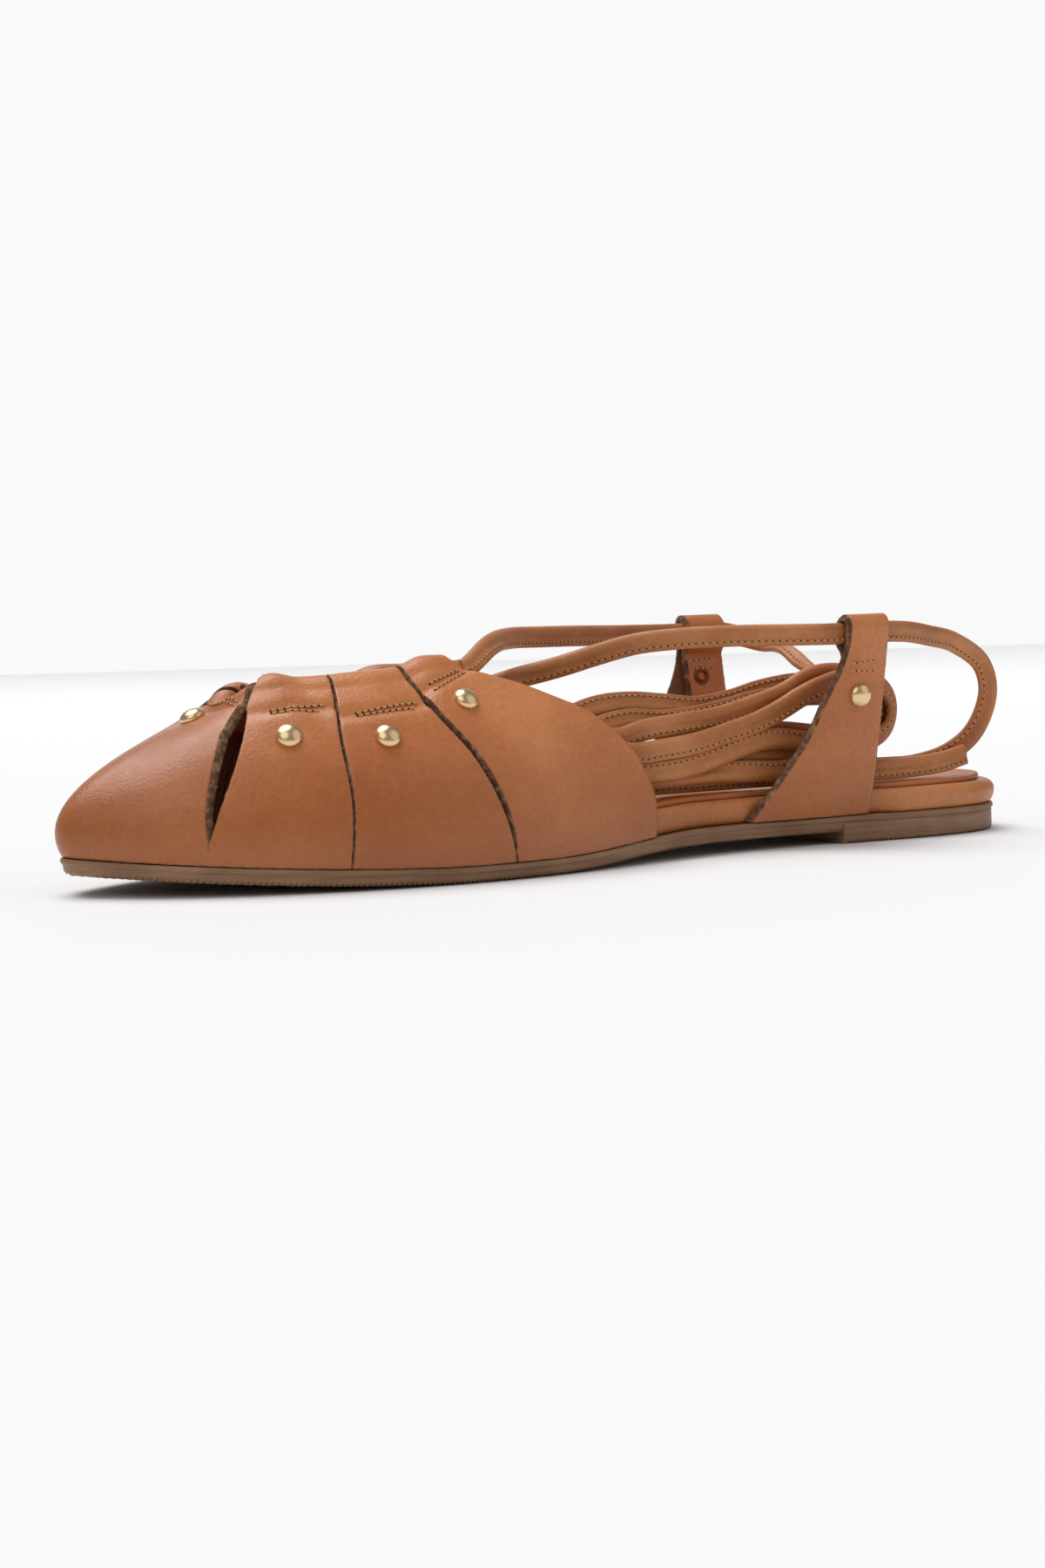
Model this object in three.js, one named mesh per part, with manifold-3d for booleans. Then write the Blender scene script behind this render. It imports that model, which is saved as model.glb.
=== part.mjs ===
// Flat lace-up sandal, left foot, in tan leather on a thin rubber sole.
// Millimetres. X runs to the toe, Y to the wearer's left, Z up from the floor.
// The origin lies under the middle of the heel, HEEL_SETBACK ahead of its back end.
import * as THREE from 'three';
import { mergeVertices } from 'three/addons/utils/BufferGeometryUtils.js';
import Module from 'manifold-3d';

const wasm = await Module();
wasm.setup();

// Sole
const LENGTH = 252;
const BALL_WIDTH = 77;
const HEEL_SETBACK = 28;
const HEEL_LENGTH = 58;
const HEEL_HEIGHT = 6.8;
const OUTSOLE_THICKNESS = 3.8;
const TOE_SPRING = 5;
const PLATFORM_THICKNESS = 5.6;
const PLATFORM_EDGE_RADIUS = 2;
const PLATFORM_FOOT_ROUND = 1;
const SOCK_THICKNESS = 1;
const SOCK_MARGIN = 3.2;
const SOCK_EDGE_ROUND = 0.6;

// Upper
const LEATHER = 1.8;
const INSTEP_HEIGHT = 47;
const MEDIAL_DROP = 2.4;
const THROAT_WIDTH = 26;
const THROAT_NOSE = { half: 8.5, length: 5.5 };
const THROAT_FRONT = 177;
const STUD_DIAMETER = 6;
const STUD_HEIGHT = 1.9;
const STUD_RIM = 0.2;
const STUD_DROP = 18;
const POST_RADIUS = 0.9;
const WASHER_RADIUS = 2.2;
const WASHER_THICKNESS = 0.6;

// Heel straps
const STRAP_HEIGHT = 49.2;
const STRAP_TOP_WIDTH = 11;
const STRAP_FOOT_WIDTH = 34.5;
const LATERAL_STRAP_REAR = 22.5;
const MEDIAL_STRAP_REAR = 30;
const STRAP_LEAN = 10.5;
const STRAP_TAB_LENGTH = 25;
const STRAP_FOLD_RADIUS = 2.6;
const STRAP_STUD_UP = 31;
const STRAP_STUD_IN = 6.8;
const TAB_LEATHER = 1.3;

// Laces: a stitched leather cord, drawn round here
const LACE_DIAMETER = 3.2;
const LACE_WIDTH = 5.2;
const TUNNEL_PLAY = 0.25;
const TUNNEL_WALL = 1.5;
const TUNNEL_PROUD = 0.7;

// Clearance between neighbouring pieces, and how far the upper stands inside the sole's edge
const GAP = 0.3;
const EDGE_STEP = 0.4;

// Resolution
const SPAN_STEPS = 2;
const SECTION_STEPS = 9;
const SHELL_STEPS = 54;
const TUNNEL_STEPS = 34;
const LACE_STEPS = 44;
const TIE_STEPS = 34;
const TUNNEL_SIDES = 8;
const CORD_SIDES = 8;
const STUD_SIDES = 8;

const LACE_RADIUS = LACE_DIAMETER / 2;
const LATERAL = 1;
const MEDIAL = -1;

// Outline of the outsole. at: share of LENGTH from the heel; the rest are shares of BALL_WIDTH
// from the middle line to the lateral and the medial edge.
const OUTLINE = [
  { at: 0, lateral: 0, medial: 0 },
  { at: 0.008, lateral: 0.117, medial: 0.13 },
  { at: 0.032, lateral: 0.221, medial: 0.234 },
  { at: 0.071, lateral: 0.286, medial: 0.308 },
  { at: 0.139, lateral: 0.312, medial: 0.338 },
  { at: 0.238, lateral: 0.299, medial: 0.318 },
  { at: 0.357, lateral: 0.305, medial: 0.286 },
  { at: 0.456, lateral: 0.379, medial: 0.299 },
  { at: 0.536, lateral: 0.455, medial: 0.357 },
  { at: 0.595, lateral: 0.494, medial: 0.409 },
  { at: 0.655, lateral: 0.513, medial: 0.468 },
  { at: 0.714, lateral: 0.506, medial: 0.49 },
  { at: 0.774, lateral: 0.474, medial: 0.484 },
  { at: 0.833, lateral: 0.416, medial: 0.439 },
  { at: 0.893, lateral: 0.325, medial: 0.366 },
  { at: 0.944, lateral: 0.208, medial: 0.273 },
  { at: 0.98, lateral: 0.078, medial: 0.182 },
  { at: 1, lateral: -0.039, medial: 0.039 },
];

// Side profile of the outsole from its tread up, and of the heel lift from the floor up: inset
// from the outline in millimetres, rise as a share of OUTSOLE_THICKNESS.
const SOLE_EDGE = [
  { inset: 1.6, rise: 0 },
  { inset: 0.7, rise: 0.24 },
  { inset: 0.5, rise: 0.61 },
  { inset: 0, rise: 0.71 },
  { inset: 0, rise: 0.89 },
  { inset: 0.4, rise: 1 },
];
const LIFT_EDGE = { foot: 0.9, side: 0.4, round: 0.5, breastLean: 0.6 };

// Sections of the upper at its sides and at the toe. end: share of a quarter turn that a section
// climbs; power and lift: exponents of its curve; bulge: its fullness halfway up.
const SECTION = {
  side: { end: 0.8, power: 1.9, lift: 0.9, bulge: 0.05 },
  toe: { end: 0.825, power: 2.86, lift: 1.03, bulge: 0.19 },
};

// Height of the upper's top line over the foot, as a share of INSTEP_HEIGHT; at is a share of
// LENGTH from the heel.
const TOP_LINE = [
  { at: 0.4, rise: 1.14 },
  { at: 0.6, rise: 1.1 },
  { at: 0.64, rise: 1.087 },
  { at: 0.67, rise: 1.084 },
  { at: 0.695, rise: 1.041 },
  { at: 0.73, rise: 1.03 },
  { at: 0.79, rise: 1.013 },
  { at: 0.82, rise: 1.029 },
  { at: 0.84, rise: 0.905 },
  { at: 1, rise: 0.6 },
];

// Half width of the throat behind its round nose, as a share of THROAT_WIDTH.
const THROAT = [
  { at: 0.5, half: 0.385 },
  { at: 0.6, half: 0.365 },
  { at: 0.64, half: 0.392 },
  { at: 0.69, half: 0.462 },
  { at: 0.73, half: 0.5 },
  { at: 0.775, half: 0.45 },
  { at: 0.8, half: 0.365 },
  { at: 0.8135, half: 0.327 },
];

// Rear edge of the upper seen from the side: at and up are shares of LENGTH and INSTEP_HEIGHT.
const REAR_EDGE = [
  { at: 0.462, up: -0.1 },
  { at: 0.462, up: 0.15 },
  { at: 0.461, up: 0.3 },
  { at: 0.471, up: 0.46 },
  { at: 0.491, up: 0.62 },
  { at: 0.524, up: 0.773 },
  { at: 0.556, up: 0.856 },
  { at: 0.586, up: 0.927 },
  { at: 0.63, up: 1.01 },
  { at: 0.65, up: 1.09 },
  { at: 0.66, up: 1.4 },
];

// Slits between the fingers of the upper seen from the side: at and up as above, gap in
// thicknesses of the leather.
const SLITS = [
  { name: 'front', line: [
    { at: 0.826, up: 1.15, gap: 0.4 }, { at: 0.828, up: 1.0, gap: 0.5 },
    { at: 0.848, up: 0.9, gap: 1.0 }, { at: 0.863, up: 0.78, gap: 1.6 },
    { at: 0.883, up: 0.6, gap: 1.7 }, { at: 0.898, up: 0.42, gap: 1.0 },
    { at: 0.907, up: 0.25, gap: 0.15 }] },
  { name: 'middle', line: [
    { at: 0.764, up: 1.15, gap: 0.5 }, { at: 0.766, up: 1.0, gap: 0.45 },
    { at: 0.783, up: 0.705, gap: 0.45 }, { at: 0.787, up: 0.404, gap: 0.45 },
    { at: 0.792, up: 0.13, gap: 0.35 }] },
  { name: 'rear', line: [
    { at: 0.7, up: 1.15, gap: 0.6 }, { at: 0.694, up: 0.984, gap: 0.75 },
    { at: 0.682, up: 0.788, gap: 1.0 }, { at: 0.66, up: 0.578, gap: 1.1 },
    { at: 0.642, up: 0.321, gap: 0.9 }, { at: 0.635, up: 0.13, gap: 0.4 }] },
];

// Studs: at is the share of LENGTH where the section through the stud leaves the sole, drop the
// share of STUD_DROP from the throat's edge down the leather.
const TOE_STUD = { name: 'toe', at: 1, drop: 0.59 };
const LATERAL_STUDS = [
  { name: 'front', at: 0.833, drop: 1.153 },
  { name: 'middle', at: 0.741, drop: 1.228 },
  { name: 'rear', at: 0.65, drop: 0.972 },
];
const MEDIAL_STUDS = [
  { name: 'front', at: 0.826, drop: 0.96 },
  { name: 'middle', at: 0.739, drop: 1.0 },
  { name: 'rear', at: 0.647, drop: 0.9 },
];

// Side view of a heel strap: up is a share of STRAP_HEIGHT, front the share of the way from the
// top width to the foot width, out the share of STRAP_LEAN.
const STRAP = [
  { up: 0, front: 1, out: 0 },
  { up: 0.08, front: 0.87, out: 0.12 },
  { up: 0.22, front: 0.65, out: 0.29 },
  { up: 0.4, front: 0.4, out: 0.48 },
  { up: 0.57, front: 0.235, out: 0.64 },
  { up: 0.71, front: 0.085, out: 0.76 },
  { up: 0.85, front: 0, out: 0.88 },
  { up: 1, front: 0, out: 1 },
];

const heelBack = -HEEL_SETBACK;
const along = (part) => heelBack + part * LENGTH;
const share = (x) => (x - heelBack) / LENGTH;
const mix = THREE.MathUtils.lerp;
const ease = THREE.MathUtils.smoothstep;
const point = (x, y, z) => new THREE.Vector3(x, y, z);
const spread = (from, to, count) => (
  Array.from({ length: count + 1 }, (_, i) => mix(from, to, i / count)));

// A smooth function through the rows of a table, flat beyond its ends.
function through(rows, from, to) {
  const slope = (i) => {
    const a = rows[Math.max(i - 1, 0)];
    const b = rows[Math.min(i + 1, rows.length - 1)];
    return (b[to] - a[to]) / (b[from] - a[from]);
  };
  return (value) => {
    const last = rows.length - 1;
    if (value <= rows[0][from]) return rows[0][to];
    if (value >= rows[last][from]) return rows[last][to];
    const i = rows.findIndex((row) => row[from] > value) - 1;
    const width = rows[i + 1][from] - rows[i][from];
    const t = (value - rows[i][from]) / width;
    const bend = (1 - t) * slope(i) * width * t * (1 - t) - t * slope(i + 1) * width * t * (1 - t);
    return mix(rows[i][to], rows[i + 1][to], t * t * (3 - 2 * t)) + bend;
  };
}

// Sole outline as one closed curve: heel, lateral side, toe, medial side.
const heelToToe = OUTLINE.map((row) => point(along(row.at), row.lateral * BALL_WIDTH, 0));
const toeToHeel = OUTLINE.slice(1, -1).reverse()
  .map((row) => point(along(row.at), -row.medial * BALL_WIDTH, 0));
const outline = new THREE.CatmullRomCurve3([...heelToToe, ...toeToHeel], true, 'catmullrom', 0.5);
const OUTLINE_COUNT = (heelToToe.length + toeToHeel.length) * SPAN_STEPS;

// Point of the outline at turn 0 to 1, moved in from the edge by inset.
function edge(turn, inset) {
  const p = outline.getPoint(turn);
  const t = outline.getTangent(turn);
  return point(p.x + t.y * inset, p.y - t.x * inset, 0);
}

// Turn of the outline, on the given side, where it passes x.
function turnAt(x, side) {
  let low = 0;
  let high = 0.5;
  for (let i = 0; i < 24; i += 1) {
    const middle = (low + high) / 2;
    if (outline.getPoint(middle).x < x) low = middle;
    else high = middle;
  }
  return side === LATERAL ? low : 1 - low;
}

// Height of the outsole's upper face: level heel and shank, flat ball, rising toe.
const shankEnd = along(0.385);
const ballStart = along(0.595);
const ballEnd = along(0.667);
const toeTip = along(1);
function seat(x) {
  const drop = ease(x, shankEnd, ballStart) * (HEEL_HEIGHT - OUTSOLE_THICKNESS);
  const spring = TOE_SPRING * Math.max((x - ballEnd) / (toeTip - ballEnd), 0) ** 1.55;
  return HEEL_HEIGHT - drop + spring;
}

// Ring of points round the sole. inset may vary with x; height is a function of x.
function ring(inset, height) {
  return Array.from({ length: OUTLINE_COUNT }, (_, i) => {
    const turn = i / OUTLINE_COUNT;
    const p = edge(turn, inset(outline.getPoint(turn).x));
    p.z = height(p.x);
    return p;
  });
}

// Closed mesh from rings of equal length, stacked from bottom to top or from end to end.
function loft(rings) {
  const count = rings[0].length;
  const vertices = rings.flat().flatMap((p) => [p.x, p.y, p.z]);
  const faces = [];
  for (let r = 0; r + 1 < rings.length; r += 1) {
    for (let i = 0; i < count; i += 1) {
      const a = r * count + i;
      const b = r * count + (i + 1) % count;
      faces.push(a, a + count, b, b, a + count, b + count);
    }
  }
  const top = (rings.length - 1) * count;
  for (let i = 0; i < count / 2; i += 1) {
    const j = (count - i) % count;
    const k = count - i - 1;
    if (i + 1 < k) faces.push(i, i + 1, k, top + i, top + k, top + i + 1);
    if (i > 0) faces.push(i, k, j, top + i, top + j, top + k);
  }
  const geometry = new THREE.BufferGeometry();
  geometry.setAttribute('position', new THREE.Float32BufferAttribute(vertices, 3));
  geometry.setIndex(faces);
  return geometry;
}

// Solid for cutting and joining, turned right side out if its faces point inwards.
function solid(geometry) {
  const bare = geometry.clone();
  bare.deleteAttribute('normal');
  bare.deleteAttribute('uv');
  const merged = mergeVertices(bare, 1e-4);
  const triVerts = Uint32Array.from(merged.index.array);
  const vertProperties = merged.attributes.position.array;
  const build = () => new wasm.Manifold(new wasm.Mesh({ numProp: 3, vertProperties, triVerts }));
  const body = build();
  if (body.volume() > 0) return body;
  triVerts.reverse();
  return build();
}

function toGeometry(body) {
  const mesh = body.getMesh();
  const geometry = new THREE.BufferGeometry();
  geometry.setAttribute('position', new THREE.BufferAttribute(mesh.vertProperties, 3));
  geometry.setIndex(new THREE.BufferAttribute(mesh.triVerts, 1));
  return geometry;
}

// Prism over a shape drawn in X and Z, from one Y to a greater one.
function sidePrism(shapePoints, fromY, toY) {
  const shape = new THREE.Shape(shapePoints.map(([x, z]) => new THREE.Vector2(x, z)));
  const geometry = new THREE.ExtrudeGeometry(shape, { depth: toY - fromY, bevelEnabled: false });
  geometry.rotateX(Math.PI / 2);
  geometry.translate(0, toY, 0);
  return solid(geometry);
}

const FAR = LENGTH;
const shoe = new THREE.Group();
function addPiece(name, geometry, color, roughness, metalness = 0) {
  const material = new THREE.MeshStandardMaterial({ color, roughness, metalness });
  const mesh = new THREE.Mesh(geometry, material);
  mesh.name = name;
  shoe.add(mesh);
}

// Outsole: a moulded slab with a lip along its upper edge, and the heel lift under its rear.
function outsole() {
  const height = (rise) => (x) => seat(x) - (1 - rise) * OUTSOLE_THICKNESS;
  const slab = solid(loft(SOLE_EDGE.map(({ inset, rise }) => ring(() => inset, height(rise)))));
  const lift = solid(loft([
    ring(() => LIFT_EDGE.foot, () => 0),
    ring(() => LIFT_EDGE.side, () => LIFT_EDGE.round),
    ring(() => LIFT_EDGE.side, height(0.5)),
  ]));
  const breast = heelBack + HEEL_LENGTH;
  const heelBox = sidePrism([
    [-FAR, 0], [breast, 0], [breast - LIFT_EDGE.breastLean, HEEL_HEIGHT], [-FAR, HEEL_HEIGHT],
  ], -FAR, FAR);
  return toGeometry(slab.add(lift.intersect(heelBox)));
}

// Platform: the leather-covered footbed core. It steps in where the upper and straps wrap it.
const WRAP = EDGE_STEP + LEATHER + GAP + 0.2;
const WRAP_RUN = 8;
const wrapEnd = LATERAL_STRAP_REAR - 2;
const platformInset = (x) => mix(EDGE_STEP, WRAP, ease(x, wrapEnd - WRAP_RUN, wrapEnd));
const platformFoot = (x) => seat(x) + GAP;
const platformTop = (x) => platformFoot(x) + PLATFORM_THICKNESS;
function platform() {
  const bend = (turn) => PLATFORM_EDGE_RADIUS * (1 - Math.cos(turn * Math.PI / 2));
  const rise = (turn) => PLATFORM_EDGE_RADIUS * (1 - Math.sin(turn * Math.PI / 2));
  const shoulder = spread(0, 1, 3)
    .map((turn) => ring((x) => platformInset(x) + bend(turn), (x) => platformTop(x) - rise(turn)));
  return loft([
    ring((x) => platformInset(x) + PLATFORM_FOOT_ROUND, platformFoot),
    ring(platformInset, (x) => platformFoot(x) + PLATFORM_FOOT_ROUND),
    ...shoulder,
  ]);
}

// Sock: the thin padded leather insole on the platform.
const sockFoot = (x) => platformTop(x) + GAP;
const sockTop = (x) => sockFoot(x) + SOCK_THICKNESS;
function sock() {
  const inset = (more) => (x) => platformInset(x) + SOCK_MARGIN + more;
  return loft([
    ring(inset(0), sockFoot),
    ring(inset(0), (x) => sockFoot(x) + SOCK_THICKNESS / 2),
    ring(inset(SOCK_EDGE_ROUND), sockTop),
  ]);
}

// Outer surface of the upper. turn goes round the sole's edge, climb from the sole (0) up to the
// throat's edge (1). Sections stand square to X behind the throat's round nose and fan out
// ahead of it. Each is a soft superellipse with a bulge that grows towards the toe.
const topLine = through(TOP_LINE, 'at', 'rise');
const throatHalf = through(THROAT, 'at', 'half');
const fanStart = turnAt(THROAT_FRONT, LATERAL);
function skin(turn, climb) {
  const side = turn <= 0.5 ? LATERAL : MEDIAL;
  const half = side === LATERAL ? turn : 1 - turn;
  const foot = edge(turn, EDGE_STEP);
  foot.z = seat(foot.x) + GAP;
  const fan = Math.max((half - fanStart) / (0.5 - fanStart), 0) * Math.PI / 2;
  const nose = THROAT_NOSE;
  const top = fan > 0
    ? point(THROAT_FRONT + nose.length * Math.sin(fan), side * nose.half * Math.cos(fan), 0)
    : point(foot.x, side * THROAT_WIDTH * throatHalf(share(foot.x)), 0);
  const drop = MEDIAL_DROP * (1 - side * Math.cos(fan)) / 2;
  top.z = INSTEP_HEIGHT * topLine(share(top.x)) - drop;
  const toe = ease(half, fanStart * 0.9, 0.5);
  const section = (name) => mix(SECTION.side[name], SECTION.toe[name], toe);
  const end = section('end') * Math.PI / 2;
  const angle = climb * end;
  const tail = Math.cos(end) ** section('power');
  const bulge = section('bulge') * Math.sin(climb * Math.PI);
  const reach = (Math.cos(angle) ** section('power') - tail) / (1 - tail) + bulge;
  const rise = (Math.sin(angle) / Math.sin(end)) ** section('lift');
  return point(mix(top.x, foot.x, reach), mix(top.y, foot.y, reach), mix(foot.z, top.z, rise));
}

// Outward unit normal of the skin.
function skinNormal(turn, climb) {
  const step = 0.004;
  const up = THREE.MathUtils.clamp(climb + step, 2 * step, 1);
  const round = skin(turn + step, climb).sub(skin(turn - step, climb));
  const rise = skin(turn, up).sub(skin(turn, up - 2 * step));
  return rise.cross(round).normalize();
}

// Shell of the upper with its wall's thickness, before its edges and slits are cut.
const shellStart = turnAt(along(0.43), LATERAL);
function shell() {
  const columns = SHELL_STEPS;
  const rows = SECTION_STEPS;
  const outer = [];
  const inner = [];
  for (let i = 0; i <= columns; i += 1) {
    const turn = mix(shellStart, 1 - shellStart, i / columns);
    for (let j = 0; j <= rows; j += 1) {
      const climb = j / rows;
      const p = skin(turn, climb);
      const q = p.clone().addScaledVector(skinNormal(turn, climb), -LEATHER);
      if (j === 0) q.z = p.z;
      outer.push(p);
      inner.push(q);
    }
  }
  const width = rows + 1;
  const faces = [];
  const quad = (a, b, c, d) => faces.push(a, b, c, a, c, d);
  const under = outer.length;
  for (let i = 0; i < columns; i += 1) {
    for (let j = 0; j < rows; j += 1) {
      const a = i * width + j;
      quad(a, a + 1, a + width + 1, a + width);
      quad(under + a, under + a + width, under + a + width + 1, under + a + 1);
    }
    const foot = i * width;
    quad(foot, foot + width, under + foot + width, under + foot);
    const top = foot + rows;
    quad(top, under + top, under + top + width, top + width);
  }
  for (let j = 0; j < rows; j += 1) {
    quad(j, under + j, under + j + 1, j + 1);
    const end = columns * width + j;
    quad(end, end + 1, under + end + 1, under + end);
  }
  const geometry = new THREE.BufferGeometry();
  const vertices = [...outer, ...inner].flatMap((p) => [p.x, p.y, p.z]);
  geometry.setAttribute('position', new THREE.Float32BufferAttribute(vertices, 3));
  geometry.setIndex(faces);
  return solid(geometry);
}

// Tunnel: the throat's edge folded in over the lace. Its middle line lies under the skin.
const bore = { across: LACE_WIDTH / 2 + TUNNEL_PLAY, through: LACE_RADIUS + TUNNEL_PLAY };
const FOLD_CLIMB = 0.72;
function tunnelFrame(turn) {
  const fold = skin(turn, 1);
  const down = skin(turn, FOLD_CLIMB).sub(fold).normalize();
  const normal = skinNormal(turn, (1 + FOLD_CLIMB) / 2);
  normal.addScaledVector(down, -normal.dot(down)).normalize();
  const middle = fold.clone()
    .addScaledVector(down, bore.across + TUNNEL_WALL / 2)
    .addScaledVector(normal, TUNNEL_PROUD - bore.through - TUNNEL_WALL);
  return { middle, down, normal };
}

function tunnelRing(turn, across, depth) {
  const { middle, down, normal } = tunnelFrame(turn);
  return Array.from({ length: TUNNEL_SIDES }, (_, i) => {
    const angle = i / TUNNEL_SIDES * 2 * Math.PI;
    return middle.clone()
      .addScaledVector(down, across * Math.cos(angle))
      .addScaledVector(normal, depth * Math.sin(angle));
  });
}

const tunnelRear = turnAt(along(0.634), LATERAL);
function tunnelTube(turns, wall) {
  const rings = turns.map((turn) => tunnelRing(turn, bore.across + wall, bore.through + wall));
  return solid(loft(rings));
}

// Blade that cuts one slit, on one side of the foot.
const MIDDLE_CLEAR = 1;
function slitBlade(line, side) {
  const spot = (row, half) => (
    [along(row.at) + half * row.gap * LEATHER / 2, row.up * INSTEP_HEIGHT]);
  const rear = line.map((row) => spot(row, -1));
  const front = line.map((row) => spot(row, 1));
  const shape = [...rear, ...front.reverse()];
  return side === LATERAL
    ? sidePrism(shape, MIDDLE_CLEAR, FAR)
    : sidePrism(shape, -FAR, -MIDDLE_CLEAR);
}

// Place of a stud: its outer seat on the skin and the direction that it faces.
const CLIMB_STEP = 0.01;
function studPlace({ at, drop }, side) {
  const turn = turnAt(along(at), side);
  let climb = 1;
  let run = 0;
  let last = skin(turn, climb);
  while (run < drop * STUD_DROP && climb > 0) {
    climb -= CLIMB_STEP;
    const next = skin(turn, climb);
    run += next.distanceTo(last);
    last = next;
  }
  return { seat: last, facing: skinNormal(turn, climb) };
}

// Stud: a domed cap, a post through the leather and a washer behind it, about its own axis.
const lathe = (rows) => (
  new THREE.LatheGeometry(rows.map(([radius, y]) => new THREE.Vector2(radius, y)), STUD_SIDES));
function stud(depth) {
  const radius = STUD_DIAMETER / 2;
  const rim = GAP + STUD_RIM;
  const back = -depth - GAP;
  return lathe([
    [0, back - WASHER_THICKNESS],
    [WASHER_RADIUS, back - WASHER_THICKNESS],
    [WASHER_RADIUS, back],
    [POST_RADIUS, back],
    [POST_RADIUS, GAP],
    [radius, GAP],
    [radius, rim],
    [radius * Math.SQRT1_2, rim + (STUD_HEIGHT - STUD_RIM) * Math.SQRT1_2],
    [0, rim + STUD_HEIGHT - STUD_RIM],
  ]);
}

// Room for a stud's post through the leather and for its washer behind it.
function studHole(place, depth) {
  const reach = depth + 4;
  const hole = lathe([
    [0, -reach],
    [WASHER_RADIUS + GAP, -reach],
    [WASHER_RADIUS + GAP, -depth],
    [POST_RADIUS + GAP, -depth],
    [POST_RADIUS + GAP, reach],
    [0, reach],
  ]);
  hole.applyQuaternion(new THREE.Quaternion().setFromUnitVectors(point(0, 1, 0), place.facing));
  hole.translate(place.seat.x, place.seat.y, place.seat.z);
  return solid(hole);
}

function addStud(name, place, depth) {
  addPiece(name, stud(depth), 0xd8b878, 0.25, 1);
  const mesh = shoe.children[shoe.children.length - 1];
  mesh.quaternion.setFromUnitVectors(point(0, 1, 0), place.facing);
  mesh.position.copy(place.seat);
}

// Upper: the shell and its tunnels as one leather piece, cut to its rear edge and slits.
const sides = [
  { name: 'lateral', side: LATERAL, studs: LATERAL_STUDS },
  { name: 'medial', side: MEDIAL, studs: MEDIAL_STUDS },
];
const studPlaces = sides.flatMap(({ name, side, studs }) => studs.map((row) => ({
  name: `stud_${name}_${row.name}`, ...studPlace(row, side),
})));
studPlaces.push({ name: `stud_${TOE_STUD.name}`, ...studPlace(TOE_STUD, LATERAL) });
function upper() {
  let body = shell();
  body = body.add(tunnelTube(spread(tunnelRear, 1 - tunnelRear, TUNNEL_STEPS), TUNNEL_WALL));
  const open = tunnelRear - 0.01;
  body = body.subtract(tunnelTube(spread(open, 1 - open, LACE_STEPS), 0));
  for (const { side } of sides) {
    for (const slit of SLITS) body = body.subtract(slitBlade(slit.line, side));
  }
  const rear = REAR_EDGE.map((row) => [along(row.at), row.up * INSTEP_HEIGHT]);
  const high = rear[rear.length - 1][1];
  const behind = [[-FAR, rear[0][1]], ...rear, [-FAR, high]];
  body = body.subtract(sidePrism(behind, -FAR, FAR));
  for (const place of studPlaces) body = body.subtract(studHole(place, LEATHER));
  return toGeometry(body);
}

// Heel strap: a leaning leather strip whose top is folded in and down as a tab, which leaves a
// tunnel for the lace. It stands on the outsole against the platform.
const strapFoot = HEEL_HEIGHT + GAP;
const strapTop = strapFoot + STRAP_HEIGHT;
const strapOut = through(STRAP, 'up', 'out');
const strapFront = through(STRAP, 'up', 'front');
const strapRear = (side) => (side === LATERAL ? LATERAL_STRAP_REAR : MEDIAL_STRAP_REAR);
const strapMiddle = (side) => strapRear(side) + STRAP_TOP_WIDTH / 2;
const strapFace = (side, z) => {
  const foot = edge(turnAt(strapMiddle(side), side), EDGE_STEP);
  return Math.abs(foot.y) + STRAP_LEAN * strapOut((z - strapFoot) / STRAP_HEIGHT);
};
const strapBore = { across: LACE_WIDTH / 2 + TUNNEL_PLAY, through: LACE_RADIUS + TUNNEL_PLAY };
const strapBoreZ = strapTop - LEATHER - bore.across;
const strapBoreY = (side) => strapFace(side, strapBoreZ) - LEATHER - bore.through;
function strapSection(side) {
  const face = (z, depth) => new THREE.Vector2(strapFace(side, z) - depth, z);
  const folded = strapTop - STRAP_FOLD_RADIUS;
  const corner = STRAP_FOLD_RADIUS * (1 - Math.SQRT1_2);
  const layers = LEATHER + TAB_LEATHER;
  const loop = layers + 2 * bore.through;
  const loopFoot = strapBoreZ - bore.across;
  const tabFoot = strapTop - STRAP_TAB_LENGTH;
  const section = new THREE.Shape([
    ...spread(strapFoot, folded, 8).map((z) => face(z, 0)),
    face(strapTop - corner, corner),
    face(strapTop, STRAP_FOLD_RADIUS),
    face(strapTop, loop - STRAP_FOLD_RADIUS),
    face(strapTop - corner, loop - corner),
    face(folded, loop),
    face(loopFoot, loop),
    face(loopFoot - LEATHER, mix(layers, loop, 0.3)),
    face(loopFoot - 2 * LEATHER, layers),
    face(tabFoot, layers),
    face(tabFoot, LEATHER),
    ...spread(tabFoot - LEATHER, strapFoot, 4).map((z) => face(z, LEATHER)),
  ]);
  const hole = new THREE.Path();
  hole.absellipse(strapBoreY(side), strapBoreZ, bore.through, bore.across, 0, 2 * Math.PI);
  section.holes.push(hole);
  return section;
}

function strap(side) {
  const rear = strapRear(side);
  const sheet = new THREE.ExtrudeGeometry(strapSection(side), {
    depth: FAR, bevelEnabled: false, curveSegments: 5,
  });
  sheet.applyMatrix4(new THREE.Matrix4().makeBasis(point(0, 1, 0), point(0, 0, 1), point(1, 0, 0)));
  const front = spread(0, 1, 14).map((up) => [
    rear + mix(STRAP_TOP_WIDTH, STRAP_FOOT_WIDTH, strapFront(up)), strapFoot + up * STRAP_HEIGHT]);
  const [footX] = front[0];
  const [topX] = front[front.length - 1];
  const silhouette = [[rear, 0], [footX, 0], ...front, [topX, FAR], [rear, FAR]];
  const body = solid(sheet).intersect(sidePrism(silhouette, 0, FAR));
  return side === MEDIAL ? body.mirror([0, 1, 0]) : body;
}

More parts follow.
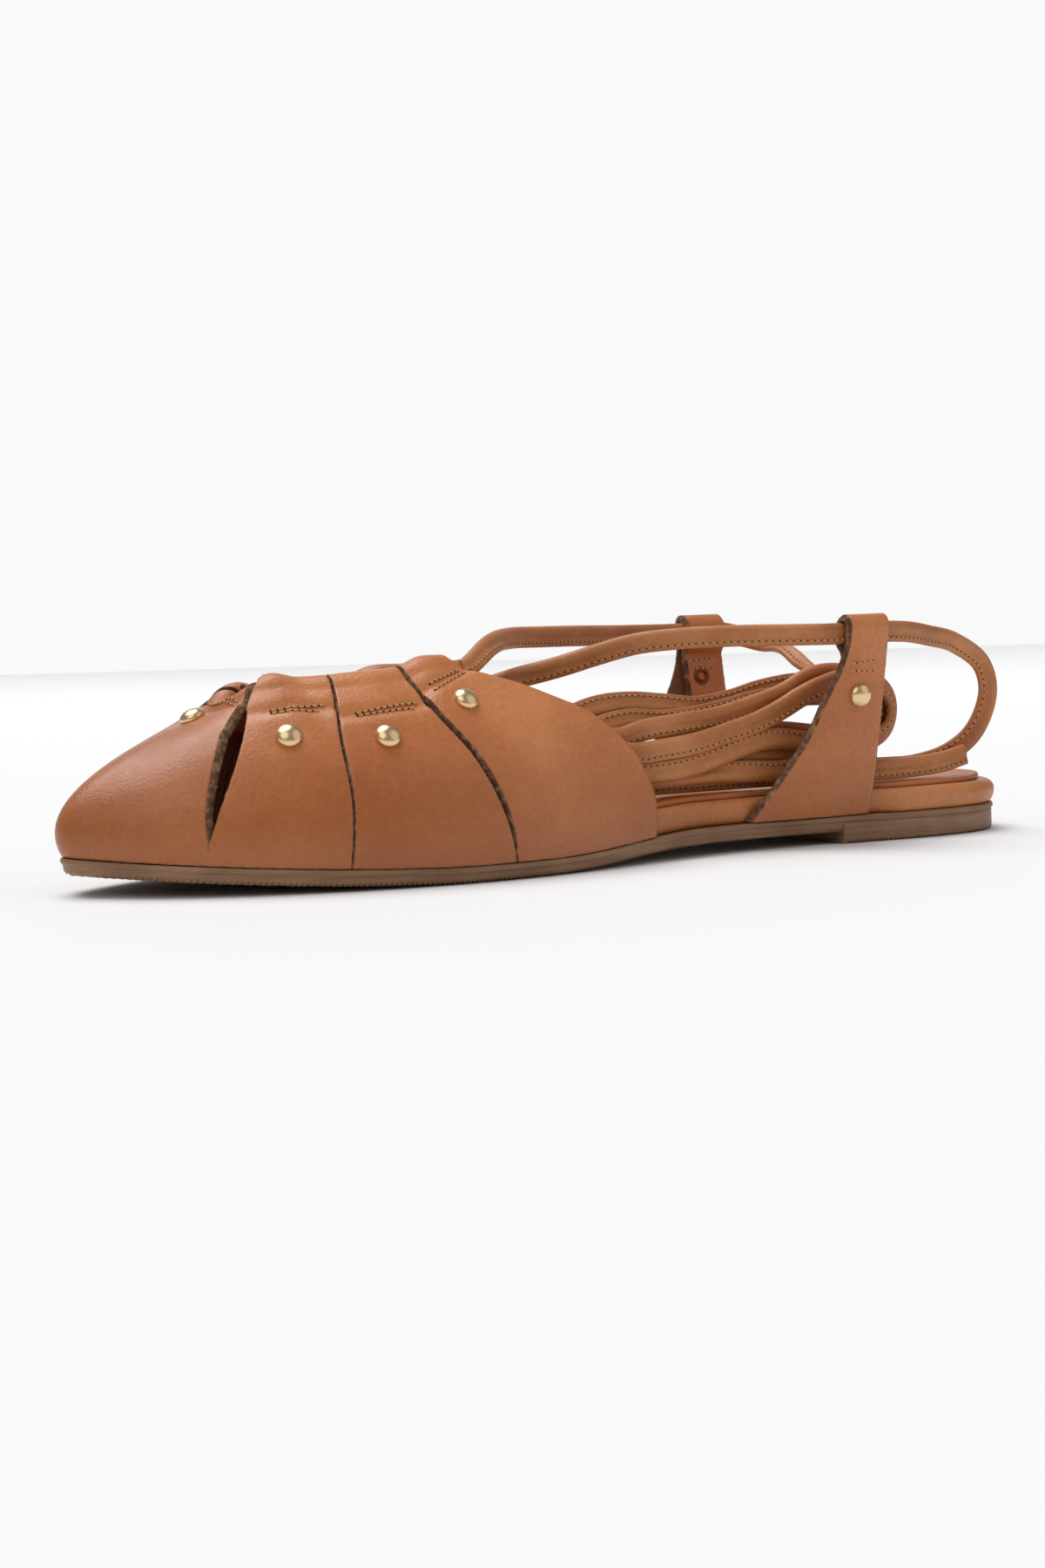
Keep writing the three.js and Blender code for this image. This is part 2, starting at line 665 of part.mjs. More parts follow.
// Stud through both layers of a strap, square to its face.
function strapStudPlace(side) {
  const z = strapFoot + STRAP_STUD_UP;
  const lean = (strapFace(side, z + 1) - strapFace(side, z - 1)) / 2;
  return {
    seat: point(strapRear(side) + STRAP_STUD_IN, side * strapFace(side, z), z),
    facing: point(0, side, -lean).normalize(),
  };
}

// Lace: a round cord along a list of points.
function cord(points, steps) {
  const path = new THREE.CatmullRomCurve3(points, false, 'centripetal');
  const section = new THREE.Shape();
  section.absarc(0, 0, LACE_RADIUS, 0, 2 * Math.PI);
  return new THREE.ExtrudeGeometry(section, {
    steps, extrudePath: path, bevelEnabled: false, curveSegments: CORD_SIDES / 2,
  });
}

// The lace runs through every tunnel of the upper, round the throat's front, and ends just
// outside the rear ones.
const MOUTH = 0.004;
const laceStart = tunnelRear - MOUTH;
const inTunnels = spread(laceStart, 1 - laceStart, LACE_STEPS)
  .map((turn) => tunnelFrame(turn).middle);

// Start of a tie: just clear of the end of the lace in the tunnels, and on along its line.
function tieStart(end, before) {
  const out = end.clone().sub(before).normalize();
  return [GAP, LACE_RADIUS].map((run) => end.clone().addScaledVector(out, run));
}

// Route of a tie: from the tunnels to the far side's strap, through its loop, and beyond.
function tieRoute(start, { side, toStrap, inStrap, beyond }) {
  const place = ({ x, y, z }) => point(x, y, z);
  const inLoop = inStrap.map((x) => point(x, side * strapBoreY(side), strapBoreZ));
  return [...start, ...toStrap.map(place), ...inLoop, ...beyond.map(place)];
}

const LATERAL_TIE = {
  side: MEDIAL,
  toStrap: [
    { x: 116, y: 2, z: 52 },
    { x: 105, y: -8, z: 53 },
    { x: 92, y: -15, z: 52.8 },
    { x: 76, y: -22, z: 52.4 },
    { x: 60, y: -27.5, z: 51.9 },
  ],
  inStrap: [47, 40, 33, 30],
  beyond: [
    { x: 25, y: -26.6, z: 50.2 },
    { x: 21.5, y: -23, z: 48.7 },
    { x: 20.6, y: -17, z: 47.6 },
    { x: 21.8, y: -10, z: 45.9 },
    { x: 22.6, y: -4.5, z: 43.6 },
    { x: 24.5, y: 3.6, z: 40.8 },
  ],
};
const MEDIAL_TIE = {
  side: LATERAL,
  toStrap: [
    { x: 120, y: -8, z: 42.6 },
    { x: 112, y: -6.5, z: 42.4 },
    { x: 103, y: -4.5, z: 44 },
    { x: 95, y: -1, z: 46 },
    { x: 88, y: 3.5, z: 48.4 },
    { x: 80, y: 9, z: 50.8 },
    { x: 70, y: 15, z: 51.8 },
    { x: 58, y: 21, z: 52 },
    { x: 47, y: 25.5, z: 51.8 },
  ],
  inStrap: [38, 32, 24, 19],
  beyond: [
    { x: 12, y: 27, z: 51.2 },
    { x: 4, y: 24, z: 50 },
    { x: -7, y: 20, z: 47.8 },
    { x: -17, y: 18, z: 42 },
    { x: -19.6, y: 17, z: 34.6 },
    { x: -16.5, y: 15, z: 25 },
    { x: -10, y: 12.5, z: 19 },
    { x: -1, y: 10.5, z: 16.2 },
    { x: 6, y: 10, z: 16 },
    { x: 13, y: 10, z: 16 },
  ],
};
const LACE_END = {
  toStrap: [
    { x: 14, y: 16, z: 16 },
    { x: 5, y: 16.5, z: 16 },
    { x: -5, y: 16.5, z: 17 },
    { x: -12, y: 16, z: 18.8 },
  ],
  inStrap: [],
  beyond: [],
};
const lateralTie = tieRoute(tieStart(...inTunnels.slice(0, 2)), LATERAL_TIE);
const medialTie = tieRoute(tieStart(...inTunnels.slice(-2).reverse()), MEDIAL_TIE);

// Hank: the outer shape of the ties' folded length, standing on the sock inside the shoe.
const HANK = { rear: 11, nose: 112, near: 20, far: 6, rearTop: 42, noseTop: 33 };
function hank() {
  const foot = sockTop(0) + GAP;
  const half = (top) => (top - foot) / 2;
  const round = (x, radius, from) => spread(from, from + Math.PI, 8)
    .map((angle) => [x + radius * Math.cos(angle), foot + radius * (1 + Math.sin(angle))]);
  return sidePrism([
    ...round(HANK.nose - half(HANK.noseTop), half(HANK.noseTop), -Math.PI / 2),
    ...round(HANK.rear + half(HANK.rearTop), half(HANK.rearTop), Math.PI / 2),
  ], HANK.far, HANK.near);
}

const TAN = 0xb5713f;
const LACE_TAN = 0xb5764a;
addPiece('outsole', outsole(), 0x8a6547, 0.6);
addPiece('platform', platform(), TAN, 0.5);
addPiece('sock', sock(), 0xb06a38, 0.55);
addPiece('upper', upper(), TAN, 0.5);
for (const { name, side } of sides) {
  const depth = LEATHER + TAB_LEATHER;
  const place = strapStudPlace(side);
  const body = strap(side).subtract(studHole(place, depth));
  addPiece(`heel_strap_${name}`, toGeometry(body), TAN, 0.5);
  addStud(`stud_${name}_strap`, place, depth);
}
for (const place of studPlaces) addStud(place.name, place, LEATHER);
addPiece('lace_in_tunnels', cord(inTunnels, LACE_STEPS), LACE_TAN, 0.55);
addPiece('lace_lateral_tie', cord(lateralTie, TIE_STEPS), LACE_TAN, 0.55);
addPiece('lace_medial_tie', cord(medialTie, TIE_STEPS), LACE_TAN, 0.55);
addPiece('lace_end', cord(tieRoute([], LACE_END), 5), LACE_TAN, 0.55);
addPiece('lace_hank', toGeometry(hank()), LACE_TAN, 0.55);

export default shoe;
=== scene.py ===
# Lace-up sandal, left foot: stitched tan leather on a thin ribbed rubber sole.
# Each section works in millimetres in the shoe's own frame: X to the toe, Y to the wearer's
# left, Z up from the floor.
import bpy
import numpy as np
from mathutils import Matrix, Vector


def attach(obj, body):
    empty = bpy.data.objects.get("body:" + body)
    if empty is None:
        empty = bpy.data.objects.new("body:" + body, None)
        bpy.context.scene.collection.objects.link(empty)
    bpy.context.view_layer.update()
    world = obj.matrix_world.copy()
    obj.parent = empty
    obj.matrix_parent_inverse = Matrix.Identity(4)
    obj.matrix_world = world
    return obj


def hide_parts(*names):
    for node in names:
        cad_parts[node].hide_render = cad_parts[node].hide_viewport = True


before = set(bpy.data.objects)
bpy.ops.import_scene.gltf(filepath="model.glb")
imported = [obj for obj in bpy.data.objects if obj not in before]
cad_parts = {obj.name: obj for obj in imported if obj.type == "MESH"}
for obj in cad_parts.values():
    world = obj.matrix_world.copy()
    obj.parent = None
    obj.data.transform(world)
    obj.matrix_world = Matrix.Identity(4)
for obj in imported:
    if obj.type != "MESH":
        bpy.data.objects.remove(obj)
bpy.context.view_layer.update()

# Camera and studio
# A long lens held a little above the shoe, on its outer side and ahead of it. The set is white
# paper under soft lamps, with lit paper behind, as in a catalogue picture.
CAMERA_AT = (503.84, 679.70, 73.0)
CAMERA_YAW, CAMERA_PITCH, CAMERA_ROLL = 0.52805, 0.06924, -0.03008
FOCAL_PIXELS, FRAME_PIXELS, SENSOR = 3800.67, 1800, 36.0


def unit(v):
    """Vectors along the last axis, scaled to length one."""
    return v / np.maximum(np.linalg.norm(v, axis=-1, keepdims=True), 1e-12)


def camera_axes(yaw, pitch, roll):
    """Right, up and forward of a camera turned by yaw about Z, pitched down, then rolled."""
    ahead = np.array([-np.sin(yaw) * np.cos(pitch), -np.cos(yaw) * np.cos(pitch), -np.sin(pitch)])
    right = np.array([-np.cos(yaw), np.sin(yaw), 0.0])
    up = np.cross(right, ahead)
    return np.cos(roll) * right + np.sin(roll) * up, -np.sin(roll) * right + np.cos(roll) * up, ahead


right, up, ahead = camera_axes(CAMERA_YAW, CAMERA_PITCH, CAMERA_ROLL)
camera = bpy.data.objects.new("camera", bpy.data.cameras.new("camera"))
camera.data.sensor_fit = "VERTICAL"
camera.data.sensor_width = camera.data.sensor_height = SENSOR
camera.data.lens = FOCAL_PIXELS * SENSOR / FRAME_PIXELS
camera.data.clip_end = 20.0
turned = Matrix((right, up, -ahead)).transposed().to_4x4()
camera.matrix_world = Matrix.Translation(Vector(CAMERA_AT) / 1000) @ turned
bpy.context.collection.objects.link(camera)
bpy.context.scene.camera = camera
bpy.context.scene.view_settings.view_transform = "Standard"


def linear(code):
    """An sRGB hex colour as linear RGBA."""
    c = np.array([int(code[i:i + 2], 16) for i in (1, 3, 5)]) / 255
    c = np.where(c <= 0.04045, c / 12.92, ((c + 0.055) / 1.055) ** 2.4)
    return (*c.tolist(), 1.0)


def add_node(tree, kind, links=(), **settings):
    """A node of that kind. links: (input, socket or value). Other settings are its properties."""
    node = tree.nodes.new(kind)
    for key, value in settings.items():
        setattr(node, key, value)
    for name, value in links:
        if isinstance(value, bpy.types.NodeSocket):
            tree.links.new(value, node.inputs[name])
        else:
            node.inputs[name].default_value = value
    return node


def lamp(name, toward, power, spread):
    """A far soft lamp that lights the whole set evenly from one direction."""
    data = bpy.data.lights.new(name, "SUN")
    data.energy, data.angle = power, np.radians(spread)
    obj = bpy.data.objects.new(name, data)
    obj.location = toward
    obj.rotation_euler = (-Vector(toward)).to_track_quat("-Z", "Y").to_euler()
    bpy.context.collection.objects.link(obj)


lamp("lamp_over", (0.15, -0.35, 1.0), 2.2, 50)
lamp("lamp_front", (0.9, 0.55, 0.9), 0.55, 50)
lamp("lamp_side", (-0.7, 0.7, 0.6), 0.35, 60)
world = bpy.data.worlds.new("studio")
world.use_nodes = True
world.node_tree.nodes["Background"].inputs["Color"].default_value = linear("#fbfbfc")
world.node_tree.nodes["Background"].inputs["Strength"].default_value = 0.28
bpy.context.scene.world = world


def new_material(name):
    """An empty node material with its shader, and the place that its surface starts from."""
    material = bpy.data.materials.new(name)
    material.use_nodes = True
    tree = material.node_tree
    shader = tree.nodes["Principled BSDF"]
    spot = add_node(tree, "ShaderNodeTexCoord").outputs["Object"]
    return material, tree, shader, spot


def plain(name, colour, roughness, metallic=0.0):
    """A material of one even colour."""
    material, _, shader, _ = new_material(name)
    shader.inputs["Base Color"].default_value = linear(colour)
    shader.inputs["Roughness"].default_value = roughness
    shader.inputs["Metallic"].default_value = metallic
    return material


def noise(tree, place, scale, detail=2.0, rough=0.5):
    """Output of a cloudy noise, its scale counted per metre."""
    links = [("Vector", place), ("Scale", scale), ("Detail", detail), ("Roughness", rough)]
    return add_node(tree, "ShaderNodeTexNoise", links).outputs[0]


def remap(tree, value, start, end, low, high):
    """A value's span from start to end, mapped to low and high and held there beyond it."""
    links = [("Value", value), ("From Min", start), ("From Max", end), ("To Min", low), ("To Max", high)]
    return add_node(tree, "ShaderNodeMapRange", links).outputs[0]


def bumped(tree, shader, height, strength, distance):
    """Gives the shader a bump from a height."""
    links = [("Height", height), ("Strength", strength), ("Distance", distance)]
    tree.links.new(add_node(tree, "ShaderNodeBump", links).outputs[0], shader.inputs["Normal"])


def add_mesh(name, points, faces, materials=(), material_index=None, sharp=50.0, uv=None):
    """A mesh object from points in millimetres and an array of quads, shaded smooth."""
    mesh = bpy.data.meshes.new(name)
    points = np.asarray(points, float).reshape(-1, 3) / 1000
    faces = np.asarray(faces, np.int32)
    mesh.vertices.add(len(points))
    mesh.vertices.foreach_set("co", points.ravel())
    mesh.loops.add(faces.size)
    mesh.loops.foreach_set("vertex_index", faces.ravel())
    mesh.polygons.add(len(faces))
    mesh.polygons.foreach_set("loop_start", np.arange(0, faces.size, faces.shape[1], dtype=np.int32))
    if material_index is not None:
        mesh.polygons.foreach_set("material_index", np.asarray(material_index, np.int32))
    if uv is not None:
        layer = mesh.uv_layers.new(name="surface")
        layer.data.foreach_set("uv", np.asarray(uv, float).reshape(-1, 2)[faces.ravel()].ravel())
    mesh.update(calc_edges=True)
    mesh.validate()
    mesh.polygons.foreach_set("use_smooth", np.ones(len(mesh.polygons), bool))
    mesh.set_sharp_from_angle(angle=np.radians(sharp))
    for material in materials:
        mesh.materials.append(material)
    obj = bpy.data.objects.new(name, mesh)
    bpy.context.collection.objects.link(obj)
    return obj


FLOOR = 3000.0
sweep = np.array([[-FLOOR, -FLOOR, 0], [FLOOR, -FLOOR, 0], [FLOOR, FLOOR, 0], [-FLOOR, FLOOR, 0]])
paper = plain("white_paper_sweep", "#efeff0", 0.9)
floor = add_mesh("floor", sweep, [[0, 1, 2, 3]], [paper])
lit_paper, tree, shader, _ = new_material("lit_paper_backdrop")
shader.inputs["Base Color"].default_value = (0, 0, 0, 1)
shader.inputs["Specular IOR Level"].default_value = 0
shader.inputs["Emission Color"].default_value = linear("#f9f9f9")
shader.inputs["Emission Strength"].default_value = 1.0
middle = np.array(CAMERA_AT) + ahead * 2300
corners = [middle + right * 700 * a + up * 1100 * b for a, b in ((-1, -1), (1, -1), (1, 1), (-1, 1))]
backdrop = add_mesh("backdrop", corners, [[0, 1, 2, 3]], [lit_paper])

# Outsole
# One thin moulding of taupe rubber with a lip along its upper edge and a low heel lift. Its
# tread is cut with fine ribs across, which show as teeth along the lower edges.
LENGTH, BALL_WIDTH, HEEL_SETBACK, HEEL_LENGTH = 252.0, 77.0, 28.0, 58.0
HEEL_HEIGHT, OUTSOLE_THICKNESS, TOE_SPRING, GAP = 6.8, 3.8, 5.0, 0.3
RIB_PITCH, RIB_DEPTH = 1.2, 0.6
OUTLINE = np.array([  # share of length, shares of ball width to the lateral and medial edges
    (0, 0, 0), (0.008, 0.117, 0.13), (0.032, 0.221, 0.234), (0.071, 0.286, 0.308),
    (0.139, 0.312, 0.338), (0.238, 0.299, 0.318), (0.357, 0.305, 0.286), (0.456, 0.379, 0.299),
    (0.536, 0.455, 0.357), (0.595, 0.494, 0.409), (0.655, 0.513, 0.468), (0.714, 0.506, 0.49),
    (0.774, 0.474, 0.484), (0.833, 0.416, 0.439), (0.893, 0.325, 0.366), (0.944, 0.208, 0.273),
    (0.98, 0.078, 0.182), (1, -0.039, 0.039)])


def along(share):
    """X at a share of the shoe's length from the back of the heel."""
    return share * LENGTH - HEEL_SETBACK


def ease(x, start, end):
    """0 before start, 1 after end, and a smooth step between."""
    t = np.clip((x - start) / (end - start), 0, 1)
    return t * t * (3 - 2 * t)


def through(rows, value):
    """A smooth curve through the rows (place, height), flat beyond its ends."""
    rows = np.asarray(rows, float)
    x, y = rows[:, 0], rows[:, 1]
    last = len(rows) - 1
    before, after = np.maximum(np.arange(last + 1) - 1, 0), np.minimum(np.arange(last + 1) + 1, last)
    slope = (y[after] - y[before]) / (x[after] - x[before])
    value = np.clip(value, x[0], x[-1])
    i = np.clip(np.searchsorted(x, value, side="right") - 1, 0, last - 1)
    width = x[i + 1] - x[i]
    t = (value - x[i]) / width
    bend = t * (1 - t) * width * ((1 - t) * slope[i] - t * slope[i + 1])
    return y[i] + (y[i + 1] - y[i]) * t * t * (3 - 2 * t) + bend


def spline(points, t, closed=False):
    """Points and tangents of a uniform spline through given points, t counted in spans."""
    points = np.asarray(points, float)
    n = len(points)
    span = np.floor(t).astype(int) if closed else np.clip(np.floor(t).astype(int), 0, n - 2)
    f = (t - span)[:, None]
    pick = (lambda k: points[k % n]) if closed else (lambda k: points[np.clip(k, 0, n - 1)])
    a, b, c, d = (pick(span + k) for k in (-1, 0, 1, 2))
    v, w = (c - a) / 2, (d - b) / 2
    place = (2 * b - 2 * c + v + w) * f**3 + (3 * c - 3 * b - 2 * v - w) * f**2 + v * f + b
    tangent = (2 * b - 2 * c + v + w) * 3 * f**2 + (3 * c - 3 * b - 2 * v - w) * 2 * f + v
    return place, tangent


OUTLINE_POINTS = np.vstack([
    np.c_[along(OUTLINE[:, 0]), OUTLINE[:, 1] * BALL_WIDTH],
    np.c_[along(OUTLINE[1:-1, 0]), -OUTLINE[1:-1, 2] * BALL_WIDTH][::-1]])


def edge(turn, inset):
    """X and Y on the sole's outline at turn 0 to 1 from the heel, moved in by inset."""
    turn, inset = np.broadcast_arrays(np.asarray(turn, float), np.asarray(inset, float))
    spans = (turn.ravel() % 1) * len(OUTLINE_POINTS)
    place, tangent = spline(OUTLINE_POINTS, spans, closed=True)
    tangent = unit(tangent)
    x = place[:, 0] + tangent[:, 1] * inset.ravel()
    y = place[:, 1] - tangent[:, 0] * inset.ravel()
    return x.reshape(turn.shape), y.reshape(turn.shape)


def seat(x):
    """Height of the outsole's upper face: level heel, falling shank, flat ball, rising toe."""
    drop = ease(x, along(0.385), along(0.595)) * (HEEL_HEIGHT - OUTSOLE_THICKNESS)
    spring = TOE_SPRING * np.maximum((x - along(0.667)) / (along(1) - along(0.667)), 0) ** 1.55
    return HEEL_HEIGHT - drop + spring


def rib(x):
    """Depth of the tread's ribs at x: rounded teeth, left out on the plain waist."""
    tooth = 0.5 - 0.5 * np.cos(2 * np.pi * x / RIB_PITCH)
    cut = 1 - ease(x, along(0.225), along(0.23)) * (1 - ease(x, along(0.40), along(0.44)))
    return RIB_DEPTH * tooth**0.7 * cut


def even_turns(count):
    """Turns 0 to 1 whose points lie an even distance apart in X on each side of the sole."""
    turns = np.linspace(0, 0.5, 4001)
    x, y = edge(turns, 0)
    run = np.r_[0, np.cumsum(np.hypot(np.diff(x), np.diff(y)))]
    half = np.interp(np.linspace(0, run[-1], count // 2 + 1), run, turns)
    return np.r_[half, 1 - half[1:-1][::-1]]


def ring_faces(rings, count, closed=True, start=0):
    """Quads between neighbouring rings of points, from the first ring to the last."""
    r = np.arange(rings - 1)[:, None]
    i = np.arange(count if closed else count - 1)[None]
    j = (i + 1) % count
    return start + np.stack([r * count + i, r * count + j, (r + 1) * count + j, (r + 1) * count + i],
                            -1).reshape(-1, 4)


def cap_faces(count, first, top):
    """Quads across a ring whose points i and count - i face each other."""
    i = np.arange(1, count // 2 - 1)
    quads = np.stack([i, i + 1, count - i - 1, count - i], -1)
    ends = np.array([[0, 1, count - 1, 0], [count // 2 - 1, count // 2, count // 2 + 1, count // 2 - 1]])
    both = np.vstack([quads, ends])
    return first + (both if top else both[:, ::-1])


def outward(points, faces):
    """The faces of one closed shell, turned over if its signed volume is negative."""
    a, b, c, d = (points[faces[:, k]] for k in (0, 1, 2, -1))
    volume = (a * (np.cross(b, c) + np.cross(c, d))).sum()
    return faces if volume > 0 else faces[:, ::-1]


def sole_stack(turns, rows):
    """Closed stack of rings round the sole: rows of (inset, height) as functions of X."""
    x0 = edge(turns, 0)[0]
    rings = []
    for inset, height in rows:
        x, y = edge(turns, inset(x0))
        rings.append(np.stack([x, y, height(x)], -1))
    n = len(turns)
    quads = ring_faces(len(rows), n)
    caps = [cap_faces(n, 0, False), cap_faces(n, (len(rows) - 1) * n, True)]
    points = np.vstack(rings)
    return points, outward(points, np.vstack([quads, *caps]))


def fan_free(faces):
    """Splits off the doubled corner of each end quad, so that all faces are triangles or quads."""
    flat = faces[:, 0] == faces[:, 3]
    return faces[~flat], faces[flat][:, :3]


def add_solid(name, points, faces, materials, **options):
    """A closed stack as a mesh, its end triangles written as thin quads' halves."""
    quads, tris = fan_free(faces)
    both = np.vstack([quads[:, [0, 1, 2]], quads[:, [0, 2, 3]], tris])
    return add_mesh(name, points, both, materials, **options)


rubber, tree, shader, spot = new_material("moulded_taupe_rubber")
grime = noise(tree, spot, 60.0, 4.0)
streaked = add_node(tree, "ShaderNodeMapping", [("Vector", spot), ("Scale", (9.0, 9.0, 260.0))])
streak = noise(tree, streaked.outputs[0], 4.0, 3.0)
blend = add_node(tree, "ShaderNodeMath", [(0, grime), (1, streak)], operation="MULTIPLY")
ramp = add_node(tree, "ShaderNodeValToRGB", [("Fac", blend.outputs[0])])
for stop, place, colour in zip(ramp.color_ramp.elements, (0.12, 0.42), ("#765439", "#997658")):
    stop.position, stop.color = place, linear(colour)
tree.links.new(ramp.outputs[0], shader.inputs["Base Color"])
bumped(tree, shader, noise(tree, spot, 1400.0), 0.25, 0.0002)
shader.inputs["Roughness"].default_value = 0.48
shader.inputs["Specular IOR Level"].default_value = 0.4

turns = even_turns(1800)


def low(x):
    """Height of the outsole's lower face with its ribs."""
    return seat(x) - OUTSOLE_THICKNESS + rib(x)


def at(value):
    """A function of X that gives the same value everywhere."""
    return lambda x: np.full_like(x, value)


def above_low(x):
    """Height of the outsole's side where the ribs fade out."""
    return low(x) * 0.6 + (seat(x) - OUTSOLE_THICKNESS) * 0.4 + 0.55


def below_seat(depth):
    """A function of X that gives the height at a depth below the outsole's upper face."""
    return lambda x: seat(x) - depth


SOLE_ROWS = [(at(1.9), low), (at(1.3), lambda x: low(x) + 0.1), (at(0.85), above_low)]
SOLE_ROWS += [(at(inset), below_seat(depth)) for inset, depth in [
    (0.62, 2.6), (0.5, 1.6), (0.35, 1.35), (0.06, 1.15), (0, 0.85), (0, 0.5), (0.1, 0.2),
    (0.35, 0.02), (0.8, 0)]]
slab_points, slab_faces = sole_stack(turns, SOLE_ROWS)

breast = HEEL_LENGTH - HEEL_SETBACK
lift_turns = even_turns(1800)
lift_x = edge(lift_turns, 0)[0]


LIFT_ROWS = [  # inset, height, share of the ribs' depth
    (1.1, 0.0, 1), (0.7, 0.12, 1), (0.45, 0.5, 0.5), (0.38, 1.2, 0), (0.38, 5.0, 0)]


def lift_stack():
    """The heel lift: the sole's outline up to the breast, closed by a flat face across."""
    keep = lift_turns[(lift_x < breast) & (lift_turns < 0.5)]
    side = np.linspace(0, 1, 15)[1:-1]
    rows = []
    for inset, rise, tooth in LIFT_ROWS:
        x, y = edge(np.r_[keep, 1 - keep[1:][::-1]], inset)
        half = len(keep)
        near, far = y[half - 1], y[half]
        x = np.r_[x[:half], np.full(len(side), breast - inset / 3), x[half:]]
        y = np.r_[y[:half], near + (far - near) * side, y[half:]]
        z = rise + rib(x) * tooth * np.minimum(1, (breast - x) / 1.5 + 0.15)
        rows.append(np.stack([x, y, z], -1))
    count = len(rows[0])
    points = np.vstack(rows)
    return points, ring_faces(len(rows), count), count


lift_points, lift_faces, lift_count = lift_stack()
lift_caps = [cap_faces(lift_count, 0, False), cap_faces(lift_count, len(lift_points) - lift_count, True)]
lift_all = outward(lift_points, np.vstack([lift_faces, *lift_caps]))
both = np.vstack([slab_faces, lift_all + len(slab_points)])
outsole = add_solid("outsole_rubber", np.vstack([slab_points, lift_points]), both, [rubber], sharp=40)
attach(outsole, "root")
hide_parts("outsole")

# Platform
# The footbed's board, wrapped in tan leather round a soft edge. At the heel it swells over the
# outsole. From the straps forward it is stepped in by the leather that comes up its sides.
EDGE_STEP, LEATHER = 0.4, 1.8
WRAP, WRAP_END, WRAP_RUN = EDGE_STEP + LEATHER + GAP + 0.2, 20.5, 8.0


def leather(name, dark, middle, light, grain=0.62, mottle=28.0, depth=0.00012, rough=0.47, coat=0.1,
            toe_burnish_and_low_shade=0.0):
    """Smooth calf: cloudy aniline colour, a fine pebbled grain in millimetres, and a soft wax.
    It is darkened to the share given: toward the toe as burnish, and low on its sides as painted shade."""
    material, tree, shader, spot = new_material(name)
    cloud, fine = noise(tree, spot, mottle, 5.0, 0.55), noise(tree, spot, 900.0, 3.0)
    mix = add_node(tree, "ShaderNodeMix", [(0, 0.22), (2, cloud), (3, fine)])
    ramp = add_node(tree, "ShaderNodeValToRGB", [("Fac", mix.outputs[0])])
    for stop, place, colour in zip(ramp.color_ramp.elements, (0.34, 0.66), (dark, light)):
        stop.position, stop.color = place, linear(colour)
    ramp.color_ramp.elements.new(0.5).color = linear(middle)
    axes = add_node(tree, "ShaderNodeSeparateXYZ", [(0, spot)])
    # Painted shade: the leather is darkened low on its sides, from 4 mm up to 30 mm, where less light falls.
    low = remap(tree, axes.outputs[2], 0.004, 0.03, toe_burnish_and_low_shade, 0.0)
    # Burnish: the toe is darkened as a tone of the leather itself.
    toe = remap(tree, axes.outputs[0], 0.165, 0.225, 0.0, toe_burnish_and_low_shade)
    burnish_and_shade = add_node(tree, "ShaderNodeMath", [(0, low), (1, toe)], operation="MAXIMUM").outputs[0]
    # Both are mixed toward a dark brown: burnish at the toe, painted shade low down.
    tone = add_node(tree, "ShaderNodeMixRGB", [(0, burnish_and_shade), (1, ramp.outputs[0]), (2, linear("#8a4a1c"))])
    tree.links.new(tone.outputs[0], shader.inputs["Base Color"])
    warp = add_node(tree, "ShaderNodeTexNoise", [("Vector", spot), ("Scale", 350.0), ("Detail", 2.0)])
    bend_links = [(0, 0.0012), (1, spot), (2, warp.outputs[1])]
    bent = add_node(tree, "ShaderNodeMixRGB", bend_links, blend_type="ADD")
    cell_links = [("Vector", bent.outputs[0]), ("Scale", 1000 / grain)]
    cells = add_node(tree, "ShaderNodeTexVoronoi", cell_links, feature="SMOOTH_F1")
    folds = noise(tree, spot, 260.0, 4.0, 0.6)
    height = add_node(tree, "ShaderNodeMix", [(0, 0.45), (2, cells.outputs[0]), (3, folds)])
    bumped(tree, shader, height.outputs[0], 0.75, depth)
    tree.links.new(remap(tree, folds, 0.3, 0.7, rough - 0.07, rough + 0.08), shader.inputs["Roughness"])
    shader.inputs["Specular IOR Level"].default_value = 0.42
    shader.inputs["Coat Weight"].default_value = coat
    shader.inputs["Coat Roughness"].default_value = 0.4
    return material


wrap_leather = leather("tan_calf_wrapped", "#a4622f", "#b87340", "#c5824e")


def step_in(x):
    """How far the platform stands inside the sole's edge."""
    return EDGE_STEP + (WRAP - EDGE_STEP) * ease(x, WRAP_END - WRAP_RUN, WRAP_END)


def swell(x):
    """Share of the platform's swelling over the outsole: full round the heel, little ahead."""
    return 1 - 0.6 * ease(x, 0, 30)


def platform_row(inset, rise):
    """A ring of the platform: inset in millimetres and height over its foot."""
    return (lambda x: step_in(x) + np.where(inset < 0, inset * swell(x), inset),
            lambda x: seat(x) + 0.05 + rise)


quarter = np.linspace(0, np.pi / 2, 8)
FOOT_ROWS = [(0.9, 0), (0.3, 0.2), (-0.2, 0.9), (-0.6, 1.9), (-0.8, 2.9)]
platform_rows = [platform_row(inset, rise) for inset, rise in FOOT_ROWS]
platform_rows += [platform_row(-0.8 + 2.6 * (1 - np.cos(a)), 3.4 + 2.45 * np.sin(a)) for a in quarter]
platform_rows += [platform_row(3.2, 5.87), platform_row(6.0, 5.87)]
points, faces = sole_stack(even_turns(500), platform_rows)
platform = add_solid("platform_wrapped", points, faces, [wrap_leather])
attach(platform, "root")
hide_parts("platform")

# Sock
# A thin calf insole glued on the platform, cut a little small. Its edge is a fine step, and at
# the heel it has curled up slightly. Its face is left plain.
SOCK_MARGIN = 3.2
sock_leather = leather("tan_calf_insole", "#a05a2a", "#b06530", "#bb723c", grain=0.5, rough=0.5)


def sock_row(inset, rise):
    """A ring of the sock. Its rim curls up round the heel."""
    return (lambda x: step_in(x) + SOCK_MARGIN + inset,
            lambda x: seat(x) + 5.93 + rise + 0.4 * ease(-x, 8, 25) * max(0, 1 - inset / 5) ** 2)


